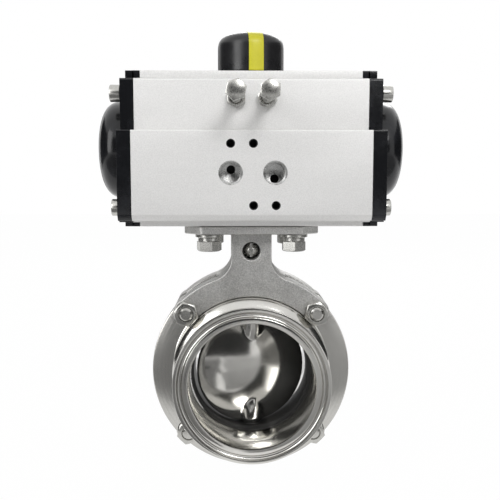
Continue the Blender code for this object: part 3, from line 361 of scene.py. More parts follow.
def shaft_steel(shade):
    """Plated shaft parts with turning marks round the spindle."""
    g = Graph("plated shaft steel", 0.34, 1.0)
    spot = g.place()
    bands = g.noise(g.join(0.0, 0.0, g.split(spot, 2) * 1800.0), 1.0, 3.0)
    g.shades(shade, 0.8, 1.15, bands)
    g.roughness(g.ramp(bands, 0.3, 0.7) * 0.14 + 0.26)
    g.relief(bands, 0.00004, 0.5)
    return g.material


def moulded(name, shade, rough, grain_scale, depth, lift=1.6):
    """Rubber or plastic with a fine moulded grain and uneven sheen."""
    g = Graph(name, rough, 0.0)
    spot = g.place()
    grain = g.noise(spot, grain_scale, 3.0, 0.6)
    patch = g.noise(spot, 80.0, 3.0)
    g.shades(shade, 1.0, lift, patch * 0.6 + grain * 0.4, 0.35, 0.7)
    g.roughness(g.ramp(patch, 0.3, 0.7) * 0.12 + (rough - 0.06))
    g.relief(grain, depth, 0.5)
    return g.material


FINISHES = {}


def finish(name):
    """A finish by name, made from its colour the first time that it's asked for."""
    if name not in FINISHES:
        shades = bpy.context.scene.valve_colours
        makers = {
            "polished": lambda: polished_steel(shades.polished),
            "brushed": lambda: brushed_steel(shades.polished),
            "disc": lambda: disc_steel(shades.polished),
            "blasted": lambda: blasted_steel(shades.blasted),
            "anodised": lambda: anodised_body(shades.anodised),
            "bare": lambda: bare_cut(shades.bare),
            # Black lining of the feed and pad holes: painted shade inside the holes, in the indicator's
            # black.
            "dark": lambda: moulded("painted shade hole lining", shades.dial, 0.55, 900.0, 0.00004),
            "turned": lambda: turned_steel(shades.fastener),
            "enamel": lambda: black_enamel(shades.enamel),
            "fastener": lambda: bright_fastener(shades.fastener),
            "shaft": lambda: shaft_steel(shades.shaft),
            "rubber": lambda: moulded("black rubber", shades.rubber, 0.5, 700.0, 0.00005),
            "bearing": lambda: moulded("bearing plastic", shades.bearing, 0.5, 500.0, 0.00004, 1.1),
            "dial": lambda: moulded("black moulding", shades.dial, 0.3, 900.0, 0.00004),
            "stripe": lambda: moulded("yellow moulding", shades.stripe, 0.36, 900.0, 0.00003, 1.15),
        }
        FINISHES[name] = makers[name]()
    return FINISHES[name]


# Mesh building

def mm(points):
    """Points given in millimetres, as metres."""
    return [(a * MM, b * MM) for a, b in points]


def circle(radius, count):
    """Points of a circle."""
    step = 2 * math.pi / count
    return [(radius * math.cos(step * k), radius * math.sin(step * k)) for k in range(count)]


def hexagon(flats, count):
    """Points round a hexagon, given its width across flats."""
    side = math.pi / 3
    points = []
    for k in range(count):
        turn = 2 * math.pi * k / count
        reach = flats / 2 / math.cos(turn % side - side / 2)
        points.append((reach * math.cos(turn), reach * math.sin(turn)))
    return points


def arc(centre, radius, start, end, steps):
    """Points along an arc, both ends included; angles in radians."""
    points = []
    for k in range(steps + 1):
        turn = start + (end - start) * k / steps
        points.append((centre[0] + radius * math.cos(turn), centre[1] + radius * math.sin(turn)))
    return points


def rounded(outline, radius, steps):
    """An outline with every corner rounded; one radius, or one for each corner."""
    count = len(outline)
    radii = radius if isinstance(radius, (list, tuple)) else [radius] * count
    points = []
    for k, corner in enumerate(outline):
        here = Vector(corner)
        back = Vector(outline[k - 1]) - here
        ahead = Vector(outline[(k + 1) % count]) - here
        reach = min(radii[k], back.length * 0.48, ahead.length * 0.48)
        first = here + back.normalized() * reach
        last = here + ahead.normalized() * reach
        for j in range(steps + 1):
            share = j / steps
            point = first.lerp(here, share).lerp(here.lerp(last, share), share)
            points.append(tuple(point))
    return points


class Form:
    """A mesh made of one or more closed shells."""

    def __init__(self):
        self.bm = bmesh.new()

    def skin(self, layers, closed=False):
        """Join rings of equal length into a surface."""
        rows = [[self.bm.verts.new(point) for point in layer] for layer in layers]
        pairs = list(zip(rows, rows[1:]))
        if closed:
            pairs.append((rows[-1], rows[0]))
        for low, high in pairs:
            count = max(len(low), len(high))
            for k in range(count):
                n = (k + 1) % count
                if len(low) == 1:
                    self.bm.faces.new((low[0], high[n], high[k]))
                elif len(high) == 1:
                    self.bm.faces.new((low[k], low[n], high[0]))
                else:
                    self.bm.faces.new((low[k], low[n], high[n], high[k]))
        if not closed:
            for row in (rows[0], rows[-1]):
                if len(row) > 2:
                    self.bm.faces.new(row)
        return self

    def turn(self, profile, spot=(0, 0, 0), toward="Z", count=FINE, closed=False):
        """A turned shell from (radius, height) points."""
        matrix = Matrix.Translation(spot) @ FACING[toward]
        layers = []
        for radius, height in profile:
            ring = [(0.0, 0.0)] if radius <= 0 else circle(radius, count)
            layers.append([matrix @ Vector((x, y, height)) for x, y in ring])
        return self.skin(layers, closed)

    def stack(self, rings, spot, toward, spin, closed=False):
        """A shell from rings of points with heights; a height may be a list, one for each point."""
        matrix = Matrix.Translation(spot) @ FACING[toward] @ Matrix.Rotation(spin, 4, "Z")
        layers = []
        for ring, height in rings:
            heights = height if isinstance(height, list) else [height] * len(ring)
            layers.append([matrix @ Vector((x, y, h)) for (x, y), h in zip(ring, heights)])
        return self.skin(layers, closed)

    def slab(self, outline, low, high, plane="XY"):
        """An outline extruded along the axis that its plane leaves out."""
        spread = {
            "XY": lambda a, b, h: (a, b, h),
            "XZ": lambda a, b, h: (a, h, b),
            "YZ": lambda a, b, h: (h, a, b),
        }[plane]
        return self.skin([[spread(a, b, h) for a, b in outline] for h in (low, high)])

    def box(self, low, high):
        outline = [(low[0], low[1]), (high[0], low[1]), (high[0], high[1]), (low[0], high[1])]
        return self.slab(outline, low[2], high[2])

    def object(self, name):
        """Turn the shells into an object with smooth round faces and crisp edges."""
        bmesh.ops.recalc_face_normals(self.bm, faces=self.bm.faces)
        mesh = bpy.data.meshes.new(name)
        self.bm.to_mesh(mesh)
        self.bm.free()
        mesh.shade_smooth()
        mesh.set_sharp_from_angle(angle=CRISP)
        piece = bpy.data.objects.new(name, mesh)
        bpy.context.scene.collection.objects.link(piece)
        return piece


def soften(piece, width, angle=35):
    """Round the edges of a piece with a bevel."""
    edge = piece.modifiers.new("rounded edges", "BEVEL")
    edge.width = width
    edge.segments = 3
    edge.limit_method = "ANGLE"
    edge.angle_limit = math.radians(angle)
    edge.harden_normals = True
    piece.data.shade_smooth()


def settle(piece):
    """Replace a piece's mesh by what its modifiers make of it."""
    shapes = bpy.context.evaluated_depsgraph_get()
    made = bpy.data.meshes.new_from_object(piece.evaluated_get(shapes))
    piece.modifiers.clear()
    piece.data = made


def carve(piece, *tools, operation="DIFFERENCE", lining=None):
    """Cut tools out of a piece and delete them; the cut faces may take a finish of their own."""
    if lining and not piece.data.materials:
        piece.data.materials.append(finish("anodised"))
    for tool in tools:
        if lining:
            tool.data.materials.append(finish(lining))
        step = piece.modifiers.new("carve", "BOOLEAN")
        step.operation = operation
        step.solver = "EXACT"
        step.material_mode = "TRANSFER"
        step.object = tool
    settle(piece)
    for tool in tools:
        bpy.data.objects.remove(tool)
    piece.data.shade_smooth()
    piece.data.set_sharp_from_angle(angle=CRISP)


def dress(piece, look, body, *nodes, lining=None):
    """Give a piece its finish, the body that carries it and the nodes that it stands for."""
    if lining is None:
        piece.data.materials.clear()
        piece.data.materials.append(finish(look))
    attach(piece, body)
    if nodes:
        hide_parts(*nodes)


def dress_steel(form, node, look="fastener"):
    """Make a form into the piece that stands for one fastener."""
    dress(form.object(f"{node}_steel"), look, "valve", node)


def threads(radius, pitch, low, high, depth=None):
    """Profile of a threaded stretch, from its low end to its high end."""
    depth = depth or pitch * 0.5
    count = max(2, int((high - low) / pitch))
    step = (high - low) / count
    points = []
    for k in range(count):
        start = low + step * k
        points += [(radius - depth, start + step * 0.06), (radius, start + step * 0.44),
                   (radius, start + step * 0.56), (radius - depth, start + step * 0.94)]
    return points


def hex_rings(flats, height, both=False):
    """Rings of a hexagon whose corners are trimmed by a cone at its top, or at both ends."""
    ring = hexagon(flats, MEDIUM)
    face = circle(flats / 2 * 0.95, MEDIUM)
    slope = math.tan(math.radians(30))
    drop = [(math.hypot(x, y) - flats / 2 * 0.95) * slope for x, y in ring]
    low = [(face, 0.0), (ring, drop)] if both else [(ring, 0.0)]
    return low + [(ring, [height - d for d in drop]), (face, height)]


def hex_head(face, flats, height, spot, toward, spin):
    """A form that starts with a hexagon head on its round washer face."""
    rings = [(circle(face, MEDIUM), 0.0)] + hex_rings(flats, height)
    return Form().stack(rings, spot, toward, spin)


def hex_nut(hole, mouth, flats, height, spot, spin):
    """A nut that faces the front, its hole countersunk at both ends."""
    inner = circle(hole, MEDIUM)
    outer = circle(mouth, MEDIUM)
    sink = mouth - hole
    rings = [(inner, sink), (outer, 0.0)] + hex_rings(flats, height, True)
    rings += [(outer, height), (inner, height - sink)]
    return Form().stack(rings, spot, "-Y", spin, True)


def drill(radius, low, high, spot, toward="Z", count=MEDIUM):
    """A plain round cutter."""
    profile = [(0, low), (radius, low), (radius, high), (0, high)]
    return Form().turn(profile, spot, toward, count).object("round tool")


def crown(radius, rise, steps):
    """Quarter of a squarish dome as (radius, height) points, from its rim to its top centre."""
    points = []
    for k in range(steps):
        turn = math.pi / 2 * k / steps
        points.append((radius * math.cos(turn) ** (2 / 3), rise * math.sin(turn) ** (2 / 3)))
    return points + [(0, rise)]


def mirrored(outline):
    """The other half of an outline that is the same to both sides."""
    return [(-x, z) for x, z in reversed(outline)]


LUG_SPOTS = [(-1, 1), (1, 1), (-1, -1), (1, -1)]
MOUNT_SPOTS = [(-1, -1, 0.25), (1, -1, 0.5), (-1, 1, 0.1), (1, 1, 0.4)]    # sides, head's turn
SIDES = (("left", -1), ("right", 1))
HEX_FLATS = 13 * MM          # across the flats of the body and mounting bolts
HEX_HEAD = 5.6 * MM
HEX_NUT = 6.5 * MM
WASHER_FACE = 6.1 * MM
BOLT_R = 4 * MM
POCKET_R = 41.5 * MM         # room for the seat ring inside the body halves
POCKET_REACH = 15.0 * MM
MOUNT_OFFSET = 24.75 * MM    # mounting bolts from the spindle axis in X and in Y
PLATE_LOW = 86.0 * MM
PLATE_HIGH = 90.5 * MM
TOP_RAIL = 25 * MM           # half widths of the body's rails
FOOT_RAIL = 33 * MM
CAP_SCREW_OFFSET = 24.5 * MM
NECK_TOP = 87.0 * MM
SCREW_HEIGHT = 75.3 * MM
PORTS = [(-11.9 * MM, 1.8 * MM), (12.8 * MM, -3.4 * MM)]
PORT_HEIGHT = 121.3 * MM
PAD_HOLES = [(-11.9, 16.1), (0.65, 16.1), (0.8, -18.1), (13.3, -18.1)]
REST_TURN = 16.0
STRIPE_TURN = -7.3


def lug_spots(sizes):
    """Centres of the body bolts in X and Z."""
    reach = sizes.lug_circle * math.sqrt(0.5)
    return [(sx * reach, sz * reach) for sx, sz in LUG_SPOTS]


# Stage, in metres and watts: lamps as (name, place, what they face, width, height, power) and
# grey cards as (place, what they face, width, height, shade)
FLOOR_GLOW = 0.985
FLOOR_LOW = (-3, -3, -0.0632)
FLOOR_HIGH = (3, 3, -0.0612)
PHOTO_WIDTH = 500            # pixels
FOCAL_LENGTH = 737.6         # pixels
SENSOR = 36.0                # millimetres
CAMERA_SPOT = (-0.008, -0.455, 0.12005)
CAMERA_DOWN = 5.8            # degrees
CAMERA_RIGHT = 0.95
LAMPS = [
    ("key lamp", (0.38, -1.25, 0.85), (0.0, 0.0, 0.1), 0.45, 0.45, 5.5),
    ("fill lamp", (-0.85, -0.75, 0.45), (0.0, 0.0, 0.08), 0.5, 0.9, 4.0),
    ("rear lamp", (0.2, 1.1, 0.9), (0.0, 0.0, 0.1), 0.9, 0.6, 7.0),
]
CARDS = [
    ((0.0, -1.4, 0.3), (0.0, 0.0, 0.1), 1.6, 1.1, 0.03),
    ((-1.0, 0.1, 0.2), (0.0, 0.0, 0.12), 1.6, 0.9, 0.02),
    ((1.0, 0.1, 0.2), (0.0, 0.0, 0.12), 1.6, 0.9, 0.02),
    ((0.0, 1.3, 0.1), (0.0, 0.0, 0.12), 1.4, 0.7, 0.1),
    ((-0.32, -0.14, -0.05), (-0.32, -0.14, 1.0), 0.60, 0.12, 0.28),
    ((0.296, -0.14, -0.05), (0.296, -0.14, 1.0), 0.60, 0.12, 0.45),
    ((-0.30, -0.30, -0.05), (-0.30, -0.30, 1.0), 0.60, 0.20, 0.25),
    ((0.32, -0.30, -0.05), (0.32, -0.30, 1.0), 0.60, 0.20, 0.55),
    ((-0.28, -0.62, -0.05), (-0.28, -0.62, 1.0), 0.60, 0.44, 0.22),
    ((0.355, -0.62, -0.05), (0.355, -0.62, 1.0), 0.60, 0.44, 0.50),
    ((-0.078, -0.27, -0.048), (-0.078, -0.27, 1.0), 0.05, 0.05, 0.03),
]


def aim(spot, target, axis):
    """Turn that points one axis of an object at a place."""
    return (Vector(target) - Vector(spot)).to_track_quat(axis, "Y")


# Pieces

class PieceOperator:
    """Common settings of the operators that make pieces."""

    bl_options = {"REGISTER"}


class VALVE_OT_stage(PieceOperator, bpy.types.Operator):
    """Make the floor, the lamps, the surroundings and the camera"""

    bl_idname = "valve.stage"
    bl_label = "Stage"

    def execute(self, context):
        scene = context.scene
        scene.view_settings.view_transform = "Standard"
        ground = Form().box(FLOOR_LOW, FLOOR_HIGH).object("floor")
        ground.data.materials.append(self.floor_paint(scene.valve_colours.floor))
        self.surroundings(scene)
        for lamp in LAMPS:
            self.lamp(*lamp)
        for card in CARDS:
            self.card(*card)
        self.camera(scene)
        return {"FINISHED"}

    def seen_white(self, tree, low):
        """A number that is 1 for rays from the camera, glossy rays and clear rays, and low for the rest."""
        path = tree.nodes.new("ShaderNodeLightPath")
        total = path.outputs["Is Camera Ray"]
        for label in ("Is Transmission Ray", "Is Glossy Ray"):
            more = tree.nodes.new("ShaderNodeMath")
            more.operation = "MAXIMUM"
            tree.links.new(total, more.inputs[0])
            tree.links.new(path.outputs[label], more.inputs[1])
            total = more.outputs[0]
        share = tree.nodes.new("ShaderNodeMapRange")
        share.inputs["To Min"].default_value = low
        tree.links.new(total, share.inputs["Value"])
        return share

    def floor_paint(self, shade):
        """A matte floor that looks white to the camera except where the valve shades it."""
        g = Graph("floor paint", 0.9, 0.0)
        spot = g.place()
        g.colour(g.blend(solid(shade, 0.99), solid(shade, 1.0), g.noise(spot, 8.0)))
        tree = g.tree
        glow = tree.nodes.new("ShaderNodeEmission")
        mix = tree.nodes.new("ShaderNodeMixShader")
        share = self.seen_white(tree, 0.0)
        share.inputs["To Max"].default_value = FLOOR_GLOW
        tree.links.new(share.outputs["Result"], mix.inputs[0])
        tree.links.new(g.shader.outputs[0], mix.inputs[1])
        tree.links.new(glow.outputs[0], mix.inputs[2])
        tree.links.new(mix.outputs[0], tree.nodes["Material Output"].inputs[0])
        return g.material

    def surroundings(self, scene):
        world = bpy.data.worlds.new("studio")
        world.use_nodes = True
        scene.world = world
        tree = world.node_tree
        share = self.seen_white(tree, 0.42)
        back = tree.nodes["Background"]
        back.inputs["Color"].default_value = (1.0, 1.0, 1.0, 1.0)
        tree.links.new(share.outputs["Result"], back.inputs["Strength"])

    def lamp(self, name, spot, target, width, height, power):
        data = bpy.data.lights.new(name, "AREA")
        data.shape = "RECTANGLE"
        data.size = width
        data.size_y = height
        data.energy = power
        lamp = bpy.data.objects.new(name, data)
        lamp.location = spot
        lamp.rotation_euler = aim(spot, target, "-Z").to_euler()
        bpy.context.scene.collection.objects.link(lamp)

    def card(self, spot, target, width, height, shade):
        """A grey card that only shows in reflections."""
        form = Form().box((-width / 2, -height / 2, -0.005), (width / 2, height / 2, 0.0))
        card = form.object("studio card")
        turn = aim(spot, target, "Z").to_matrix().to_4x4()
        card.matrix_world = Matrix.Translation(spot) @ turn
        g = Graph("studio card", 1.0, 0.0)
        g.colour((shade, shade, shade, 1.0))
        card.data.materials.append(g.material)
        card.visible_camera = False
        card.visible_diffuse = False
        card.visible_shadow = False

    def camera(self, scene):
        data = bpy.data.cameras.new("photo camera")
        data.sensor_width = SENSOR
        data.lens = FOCAL_LENGTH / PHOTO_WIDTH * SENSOR
        camera = bpy.data.objects.new("photo camera", data)
        camera.location = CAMERA_SPOT
        camera.rotation_euler = (math.radians(90 - CAMERA_DOWN), 0.0, -math.radians(CAMERA_RIGHT))
        scene.collection.objects.link(camera)
        scene.camera = camera


class VALVE_OT_body_halves(PieceOperator, bpy.types.Operator):
    """Make both halves of the valve body with ferrules, hubs, flanges and bosses"""

    bl_idname = "valve.body_halves"
    bl_label = "Body halves"

    def execute(self, context):
        sizes = context.scene.valve_sizes
        for node, toward in (("front_body_half", "-Y"), ("rear_body_half", "Y")):
            tube = Form().turn(self.tube_profile(sizes), (0, 0, 0), toward, FINEST, True)
            dress(tube.object(f"{node}_tube"), "polished", "valve", node)
            flange = Form().turn(self.flange_profile(sizes), (0, 0, 0), toward, FINEST, True)
            for x, z in lug_spots(sizes):
                flange.turn(self.lug_profile(sizes), (x, 0, z), toward, MEDIUM)
            dress(flange.object(f"{node}_flange"), "brushed", "valve", node)
        return {"FINISHED"}

    def lug_profile(self, sizes):
        r = sizes.lug
        t = sizes.flange_t
        return [(0, 0.4 * MM), (r - 0.4 * MM, 0.4 * MM), (r, 0.8 * MM), (r, t - 0.7 * MM),
                (r - 0.25 * MM, t - 0.2 * MM), (r - 0.8 * MM, t), (0, t)]

    def flange_profile(self, sizes):
        r = sizes.flange
        t = sizes.flange_t
        inner = sizes.hub - 2 * MM
        return [(inner, 0.15 * MM), (r - 0.4 * MM, 0.15 * MM), (r, 0.5 * MM), (r, t - 0.9 * MM),
                (r - 0.25 * MM, t - 0.3 * MM), (r - 0.9 * MM, t), (inner, t)]

    def tube_profile(self, sizes):
        face = sizes.half_face
        rim = face - 2.85 * MM
        tube = sizes.tube
        hub = sizes.hub
        ferrule = sizes.ferrule
        bore = sizes.bore
        slope = (ferrule - tube) * math.tan(math.radians(20))
        outside = [(POCKET_R, 0.15 * MM), (hub, 0.15 * MM), (hub + 0.9 * MM, sizes.flange_t),
                   (hub + 0.3 * MM, sizes.flange_t + 0.3 * MM), (hub, sizes.flange_t + 0.9 * MM),
                   (hub, 22.0 * MM)]
        outside += [(tube + (hub - tube) * (0.5 + 0.5 * math.cos(math.pi * k / 8)), (22.0 + 0.9 * k) * MM)
                    for k in range(1, 9)]
        outside += [(tube, rim - slope - 1.4 * MM), (tube + 0.25 * MM, rim - slope - 0.4 * MM),
                    (tube + 1.2 * MM, rim - slope + 0.25 * MM), (ferrule - 0.5 * MM, rim - 0.15 * MM),
                    (ferrule - 0.1 * MM, rim + 0.15 * MM), (ferrule, rim + 0.6 * MM),
                    (ferrule, face - 0.5 * MM), (ferrule - 0.15 * MM, face - 0.12 * MM),
                    (ferrule - 0.5 * MM, face)]
        groove = [(43.55, 0.0), (43.3, -0.12), (42.9, -0.8), (42.35, -1.4), (41.65, -1.6),
                  (40.95, -1.4), (40.4, -0.8), (40.0, -0.12), (39.75, 0.0)]
        inside = [(radius, face + depth) for radius, depth in mm(groove)]
        inside += [(bore + 0.8 * MM, face), (bore + 0.3 * MM, face - 0.12 * MM),
                   (bore, face - 0.7 * MM), (bore, POCKET_REACH), (POCKET_R, POCKET_REACH)]
        return outside + inside


class VALVE_OT_seat(PieceOperator, bpy.types.Operator):
    """Make the rubber seat ring"""

    bl_idname = "valve.seat"
    bl_label = "Seat ring"

    def execute(self, context):
        bore = context.scene.valve_sizes.bore
        profile = [(41.2 * MM, -14.7 * MM), (41.2 * MM, 14.7 * MM)]
        inner = [(bore + 0.15 * MM, 14.7 * MM), (bore - 0.1 * MM, 14.3 * MM)]
        for k in range(11):
            share = k / 10
            radius = bore - 0.1 * MM - 1.42 * MM * (0.5 - 0.5 * math.cos(math.pi * share))
            inner.append((radius, (13.6 - 4.6 * share) * MM))
        profile += inner + [(radius, -across) for radius, across in reversed(inner)]
        seat = Form().turn(profile, (0, 0, 0), "Y", FINEST, True).object("seat_ring_moulding")
        dress(seat, "rubber", "valve", "seat_ring")
        return {"FINISHED"}


class VALVE_OT_disc(PieceOperator, bpy.types.Operator):
    """Make the disc with its tapered stem bosses"""

    bl_idname = "valve.disc"
    bl_label = "Disc"

    def execute(self, context):
        lens = [(34.6, 1.3), (34.35, 1.75)]
        for k in range(15, -1, -1):
            share = k / 15
            lens.append((33.9 * share, 1.9 + 6.6 * (1 - share ** 2) ** 0.9))
        profile = mm([(radius, -half) for radius, half in reversed(lens)] + lens)
        end = [(5 * MM, 0.0)]
        for k in range(9):
            turn = math.pi / 2 * k / 8
            end.append(((5 + 3 * math.sin(turn)) * MM, (28.6 - 12.0 * math.cos(turn)) * MM))
        end += mm([(8, 32.3), (7.5, 33.0), (6.6, 33.3), (0, 33.4)])
        boss = [(radius, -height) for radius, height in reversed(end)] + end[1:]
        form = Form().turn(profile, (0, 0, 0), "Y", FINEST)
        form.turn(boss, (0, 0, 0), "Z", MEDIUM)
        form.turn(mm([(0, 30), (6, 30), (6, 46.9), (0, 46.9)]), (0, 0, 0), "-Z", MEDIUM)
        disc = form.object("disc_casting")
        disc.data.transform(Matrix.Rotation(math.radians(REST_TURN), 4, "Z"))
        blend = disc.modifiers.new("cast blend", "REMESH")
        blend.mode = "VOXEL"
        blend.voxel_size = 0.8 * MM
        even = disc.modifiers.new("polish", "SMOOTH")
        even.factor = 0.5
        even.iterations = 6
        settle(disc)
        disc.data.shade_smooth()
        dress(disc, "disc", "spindle", "disc")
        return {"FINISHED"}


class VALVE_OT_bracket(PieceOperator, bpy.types.Operator):
    """Make the cast bracket between the valve and the actuator"""

    bl_idname = "valve.bracket"
    bl_label = "Bracket"

    def execute(self, context):
        sizes = context.scene.valve_sizes
        outer, inner = self.legs(sizes)
        leg = sizes.leg
        slot = sizes.flange_t + GAP
        for name, low, high in (("front", -leg, -slot), ("rear", slot, leg)):
            piece = Form().slab(outer + inner, low, high, "XZ").object(f"bracket_{name}_leg")
            if name == "front":
                carve(piece, drill(5.2 * MM, -1 * MM, 20 * MM, (0, -8 * MM, SCREW_HEIGHT), "-Y"))
            soften(piece, 0.9 * MM)
            dress(piece, "blasted", "valve", "actuator_bracket")
        middle = Form().slab(self.neck_outline(sizes), -slot - 2 * MM, slot + 2 * MM, "XZ")
        dress(middle.object("bracket_neck_middle"), "blasted", "valve", "actuator_bracket")
        corners = [(39.2, -24), (39.2, 24), (29.2, 34), (-29.2, 34), (-39.2, 24), (-39.2, -24),
                   (-29.2, -34), (29.2, -34)]
        plate = Form().slab(rounded(mm(corners), 1.5 * MM, 4), PLATE_LOW, PLATE_HIGH)
        plate = plate.object("bracket_plate")
        soften(plate, 0.7 * MM)
        dress(plate, "blasted", "valve", "actuator_bracket")
        marks = Form()
        for x in (-4.4, 5.8):
            line = [(x - 0.35, 48.3), (x + 0.35, 48.3), (x + 0.2, 63.0), (x - 0.2, 63.0)]
            line = rounded(mm(line), 0.15 * MM, 3)
            marks.slab(line, -leg - 0.12 * MM, -leg + 1.0 * MM, "XZ")
        dress(marks.object("bracket_cast_lines"), "blasted", "valve")
        return {"FINISHED"}

    def neck_side(self, sizes):
        """The neck's right edge and fillet, and the angle at which they meet the legs."""
        x = sizes.neck + sizes.fillet
        z = math.sqrt((sizes.leg_radius + sizes.fillet) ** 2 - x ** 2)
        tangent = math.atan2(z, x)
        edge = [(sizes.neck, NECK_TOP)] + arc((x, z), sizes.fillet, math.pi, math.pi + tangent, 16)
        return edge, tangent

    def legs(self, sizes):
        """Outer and inner outline of a leg in X and Z, which together close it."""
        right, tangent = self.neck_side(sizes)
        quarter = math.pi / 4
        ring = sizes.lug_circle
        lug = (ring * math.cos(quarter), ring * math.sin(quarter))
        big = sizes.leg_radius
        small = sizes.hub + GAP
        meet = quarter + self.lug_spread(sizes, big)
        dip = quarter - self.lug_spread(sizes, small)
        start, end = [math.atan2(radius * math.sin(turn) - lug[1], radius * math.cos(turn) - lug[0])
                      for radius, turn in ((big, meet), (small, dip))]
        right += arc((0, 0), big, tangent, meet, 10)[1:]
        right += arc(lug, sizes.lug, start, end, 22)[1:-1]
        inner = arc((0, 0), small, dip, math.pi - dip, 44)
        return right, inner + mirrored(right)

    def lug_spread(self, sizes, radius):
        """Angle at the pipe from a lug's middle to where its edge crosses a circle round the pipe."""
        ring = sizes.lug_circle
        return math.acos((radius ** 2 + ring ** 2 - sizes.lug ** 2) / (2 * radius * ring))

    def neck_outline(self, sizes):
        right, tangent = self.neck_side(sizes)
        low = arc((0, 0), sizes.leg_radius + GAP, tangent, math.pi - tangent, 16)
        return right + low + mirrored(right)


class VALVE_OT_lock_screw(PieceOperator, bpy.types.Operator):
    """Make the slotted screw in the bracket's neck"""

    bl_idname = "valve.lock_screw"
    bl_label = "Neck screw"

    def execute(self, context):
        start = -10.2 * MM
        profile = [(0, 0), (4.6, 0), (4.8, 0.3), (4.8, 2.6), (4.6, 4.2), (3.9, 5.9), (2.9, 7.1),
                   (1.6, 7.8), (0, 8.0)]
        z = SCREW_HEIGHT
        screw = Form().turn(mm(profile), (0, start, z), "-Y", MEDIUM).object("neck_screw")
        slot = Form().box((-0.75 * MM, -20 * MM, z - 6 * MM), (0.75 * MM, start - 5.2 * MM, z + 6 * MM))
        carve(screw, slot.object("screw slot tool"))
        dress(screw, "turned", "valve", "stem_lock_screw")
        return {"FINISHED"}


class VALVE_OT_body_bolts(PieceOperator, bpy.types.Operator):
    """Make the four bolts through the flanges and their nuts"""

    bl_idname = "valve.body_bolts"
    bl_label = "Body bolts"

    def execute(self, context):
        sizes = context.scene.valve_sizes
        for index, (x, z) in enumerate(lug_spots(sizes), 1):
            grip = (sizes.leg if z > 0 else sizes.flange_t) + GAP
            reach = 2 * grip + 7.7 * MM
            plain = min(28 * MM, grip + 2 * MM)
            form = hex_head(WASHER_FACE, HEX_FLATS, HEX_HEAD, (x, grip, z), "Y", self.spin(x, -z))
            shank = [(0, 0.5 * MM), (BOLT_R, 0.5 * MM), (BOLT_R, -plain)]
            shank += [(r, -h) for r, h in threads(BOLT_R, 1.25 * MM, plain, reach - 1.0 * MM)]
            shank += [(3.4 * MM, -reach + 0.6 * MM), (2.9 * MM, -reach + 0.15 * MM), (0, -reach)]
            form.turn(shank, (x, grip, z), "Y", MEDIUM)
            dress_steel(form, f"body_bolt_{index}")
            nut = hex_nut(4.1 * MM, 4.5 * MM, HEX_FLATS, HEX_NUT, (x, -grip, z), self.spin(-x, -z))
            dress_steel(nut, f"body_nut_{index}")
        return {"FINISHED"}

    def spin(self, across, up):
        """How far a hexagon turns about its axis until a flat faces the pipe."""
        return math.atan2(up, across) - math.pi / 6


class VALVE_OT_mount_bolts(PieceOperator, bpy.types.Operator):
    """Make the bolts and washers between the bracket and the actuator"""

    bl_idname = "valve.mount_bolts"
    bl_label = "Mounting bolts"

    def execute(self, context):
        for index, (sx, sy, spin) in enumerate(MOUNT_SPOTS, 1):
            x = sx * MOUNT_OFFSET
            y = sy * MOUNT_OFFSET
            z = PLATE_LOW - GAP
            flat = [(4.35, -1.6), (7.8, -1.6), (8.0, -1.4), (8.0, -0.2), (7.8, 0.0), (4.35, 0.0)]
            washer = Form().turn(mm(flat), (x, y, z), "Z", MEDIUM, True)
            dress_steel(washer, f"mount_washer_{index}")
            z -= 1.9 * MM
            dress_steel(self.spring_washer(index, x, y, z), f"mount_spring_washer_{index}")
            z -= 2.3 * MM
            form = hex_head(WASHER_FACE, HEX_FLATS, HEX_HEAD, (x, y, z), "-Z", spin)
            form.turn(mm([(0, 0.5), (4, 0.5), (4, -9), (4, -18), (0, -19)]), (x, y, z), "-Z", MEDIUM)
            dress_steel(form, f"mount_bolt_{index}")
        return {"FINISHED"}

    def spring_washer(self, index, x, y, z):
        """A square-section ring, split once and slightly sprung."""
        count = 60
        start = 0.7 * index
        gap = 0.09
        layers = []
        for k in range(count + 1):
            turn = start + gap + (2 * math.pi - 2 * gap) * k / count
            lift = 0.18 * MM * (k / count - 0.5)
            section = [(4.4, -1.85), (6.5, -1.85), (6.5, -0.15), (4.4, -0.15)]
            layers.append([(x + r * MM * math.cos(turn), y + r * MM * math.sin(turn), z + h * MM + lift)
                           for r, h in section])
        return Form().skin(layers)


def body_section(sizes):
    """Outline of the extruded body in Y and Z, with its rails left out."""
    low = sizes.low + 2.8 * MM
    top = sizes.high - sizes.rail
    upper = sizes.upper
    pad = sizes.pad
    ledge = sizes.pad_top
    foot = sizes.pad_bottom
    corners = [
        ((-upper, top), 1.4), ((-upper, ledge + 0.3 * MM), 0.5), ((-upper - 0.9 * MM, ledge - 0.9 * MM), 0.2),
        ((-upper - 1.6 * MM, ledge), 0.3), ((-pad, ledge), 0.7), ((-pad, foot + 3.2 * MM), 0.5),
        ((-pad + 2.4 * MM, foot), 0.5), ((-39 * MM, foot), 0.3), ((-39 * MM, low), 0.5),
        ((35 * MM, low), 1.0), ((37 * MM, foot), 1.0), ((37 * MM, ledge), 0.7), ((upper, ledge), 0.5),
        ((upper, top), 1.4),
    ]
    outline = [corner for corner, radius in corners]
    return rounded(outline, [radius * MM for corner, radius in corners], 4)


def bar(half_width, low, high, radius):
    """A rounded rectangle in Y and Z."""
    corners = [(-half_width, low), (half_width, low), (half_width, high), (-half_width, high)]
    return rounded(corners, radius, 3)


def rail_bars(sizes, radius):
    """Outlines of the narrow rails along the top and the bottom of the body."""
    top = bar(TOP_RAIL, sizes.high - 6.1 * MM, sizes.high, radius)
    return [top, bar(FOOT_RAIL, sizes.low, sizes.low + 4 * MM, radius)]


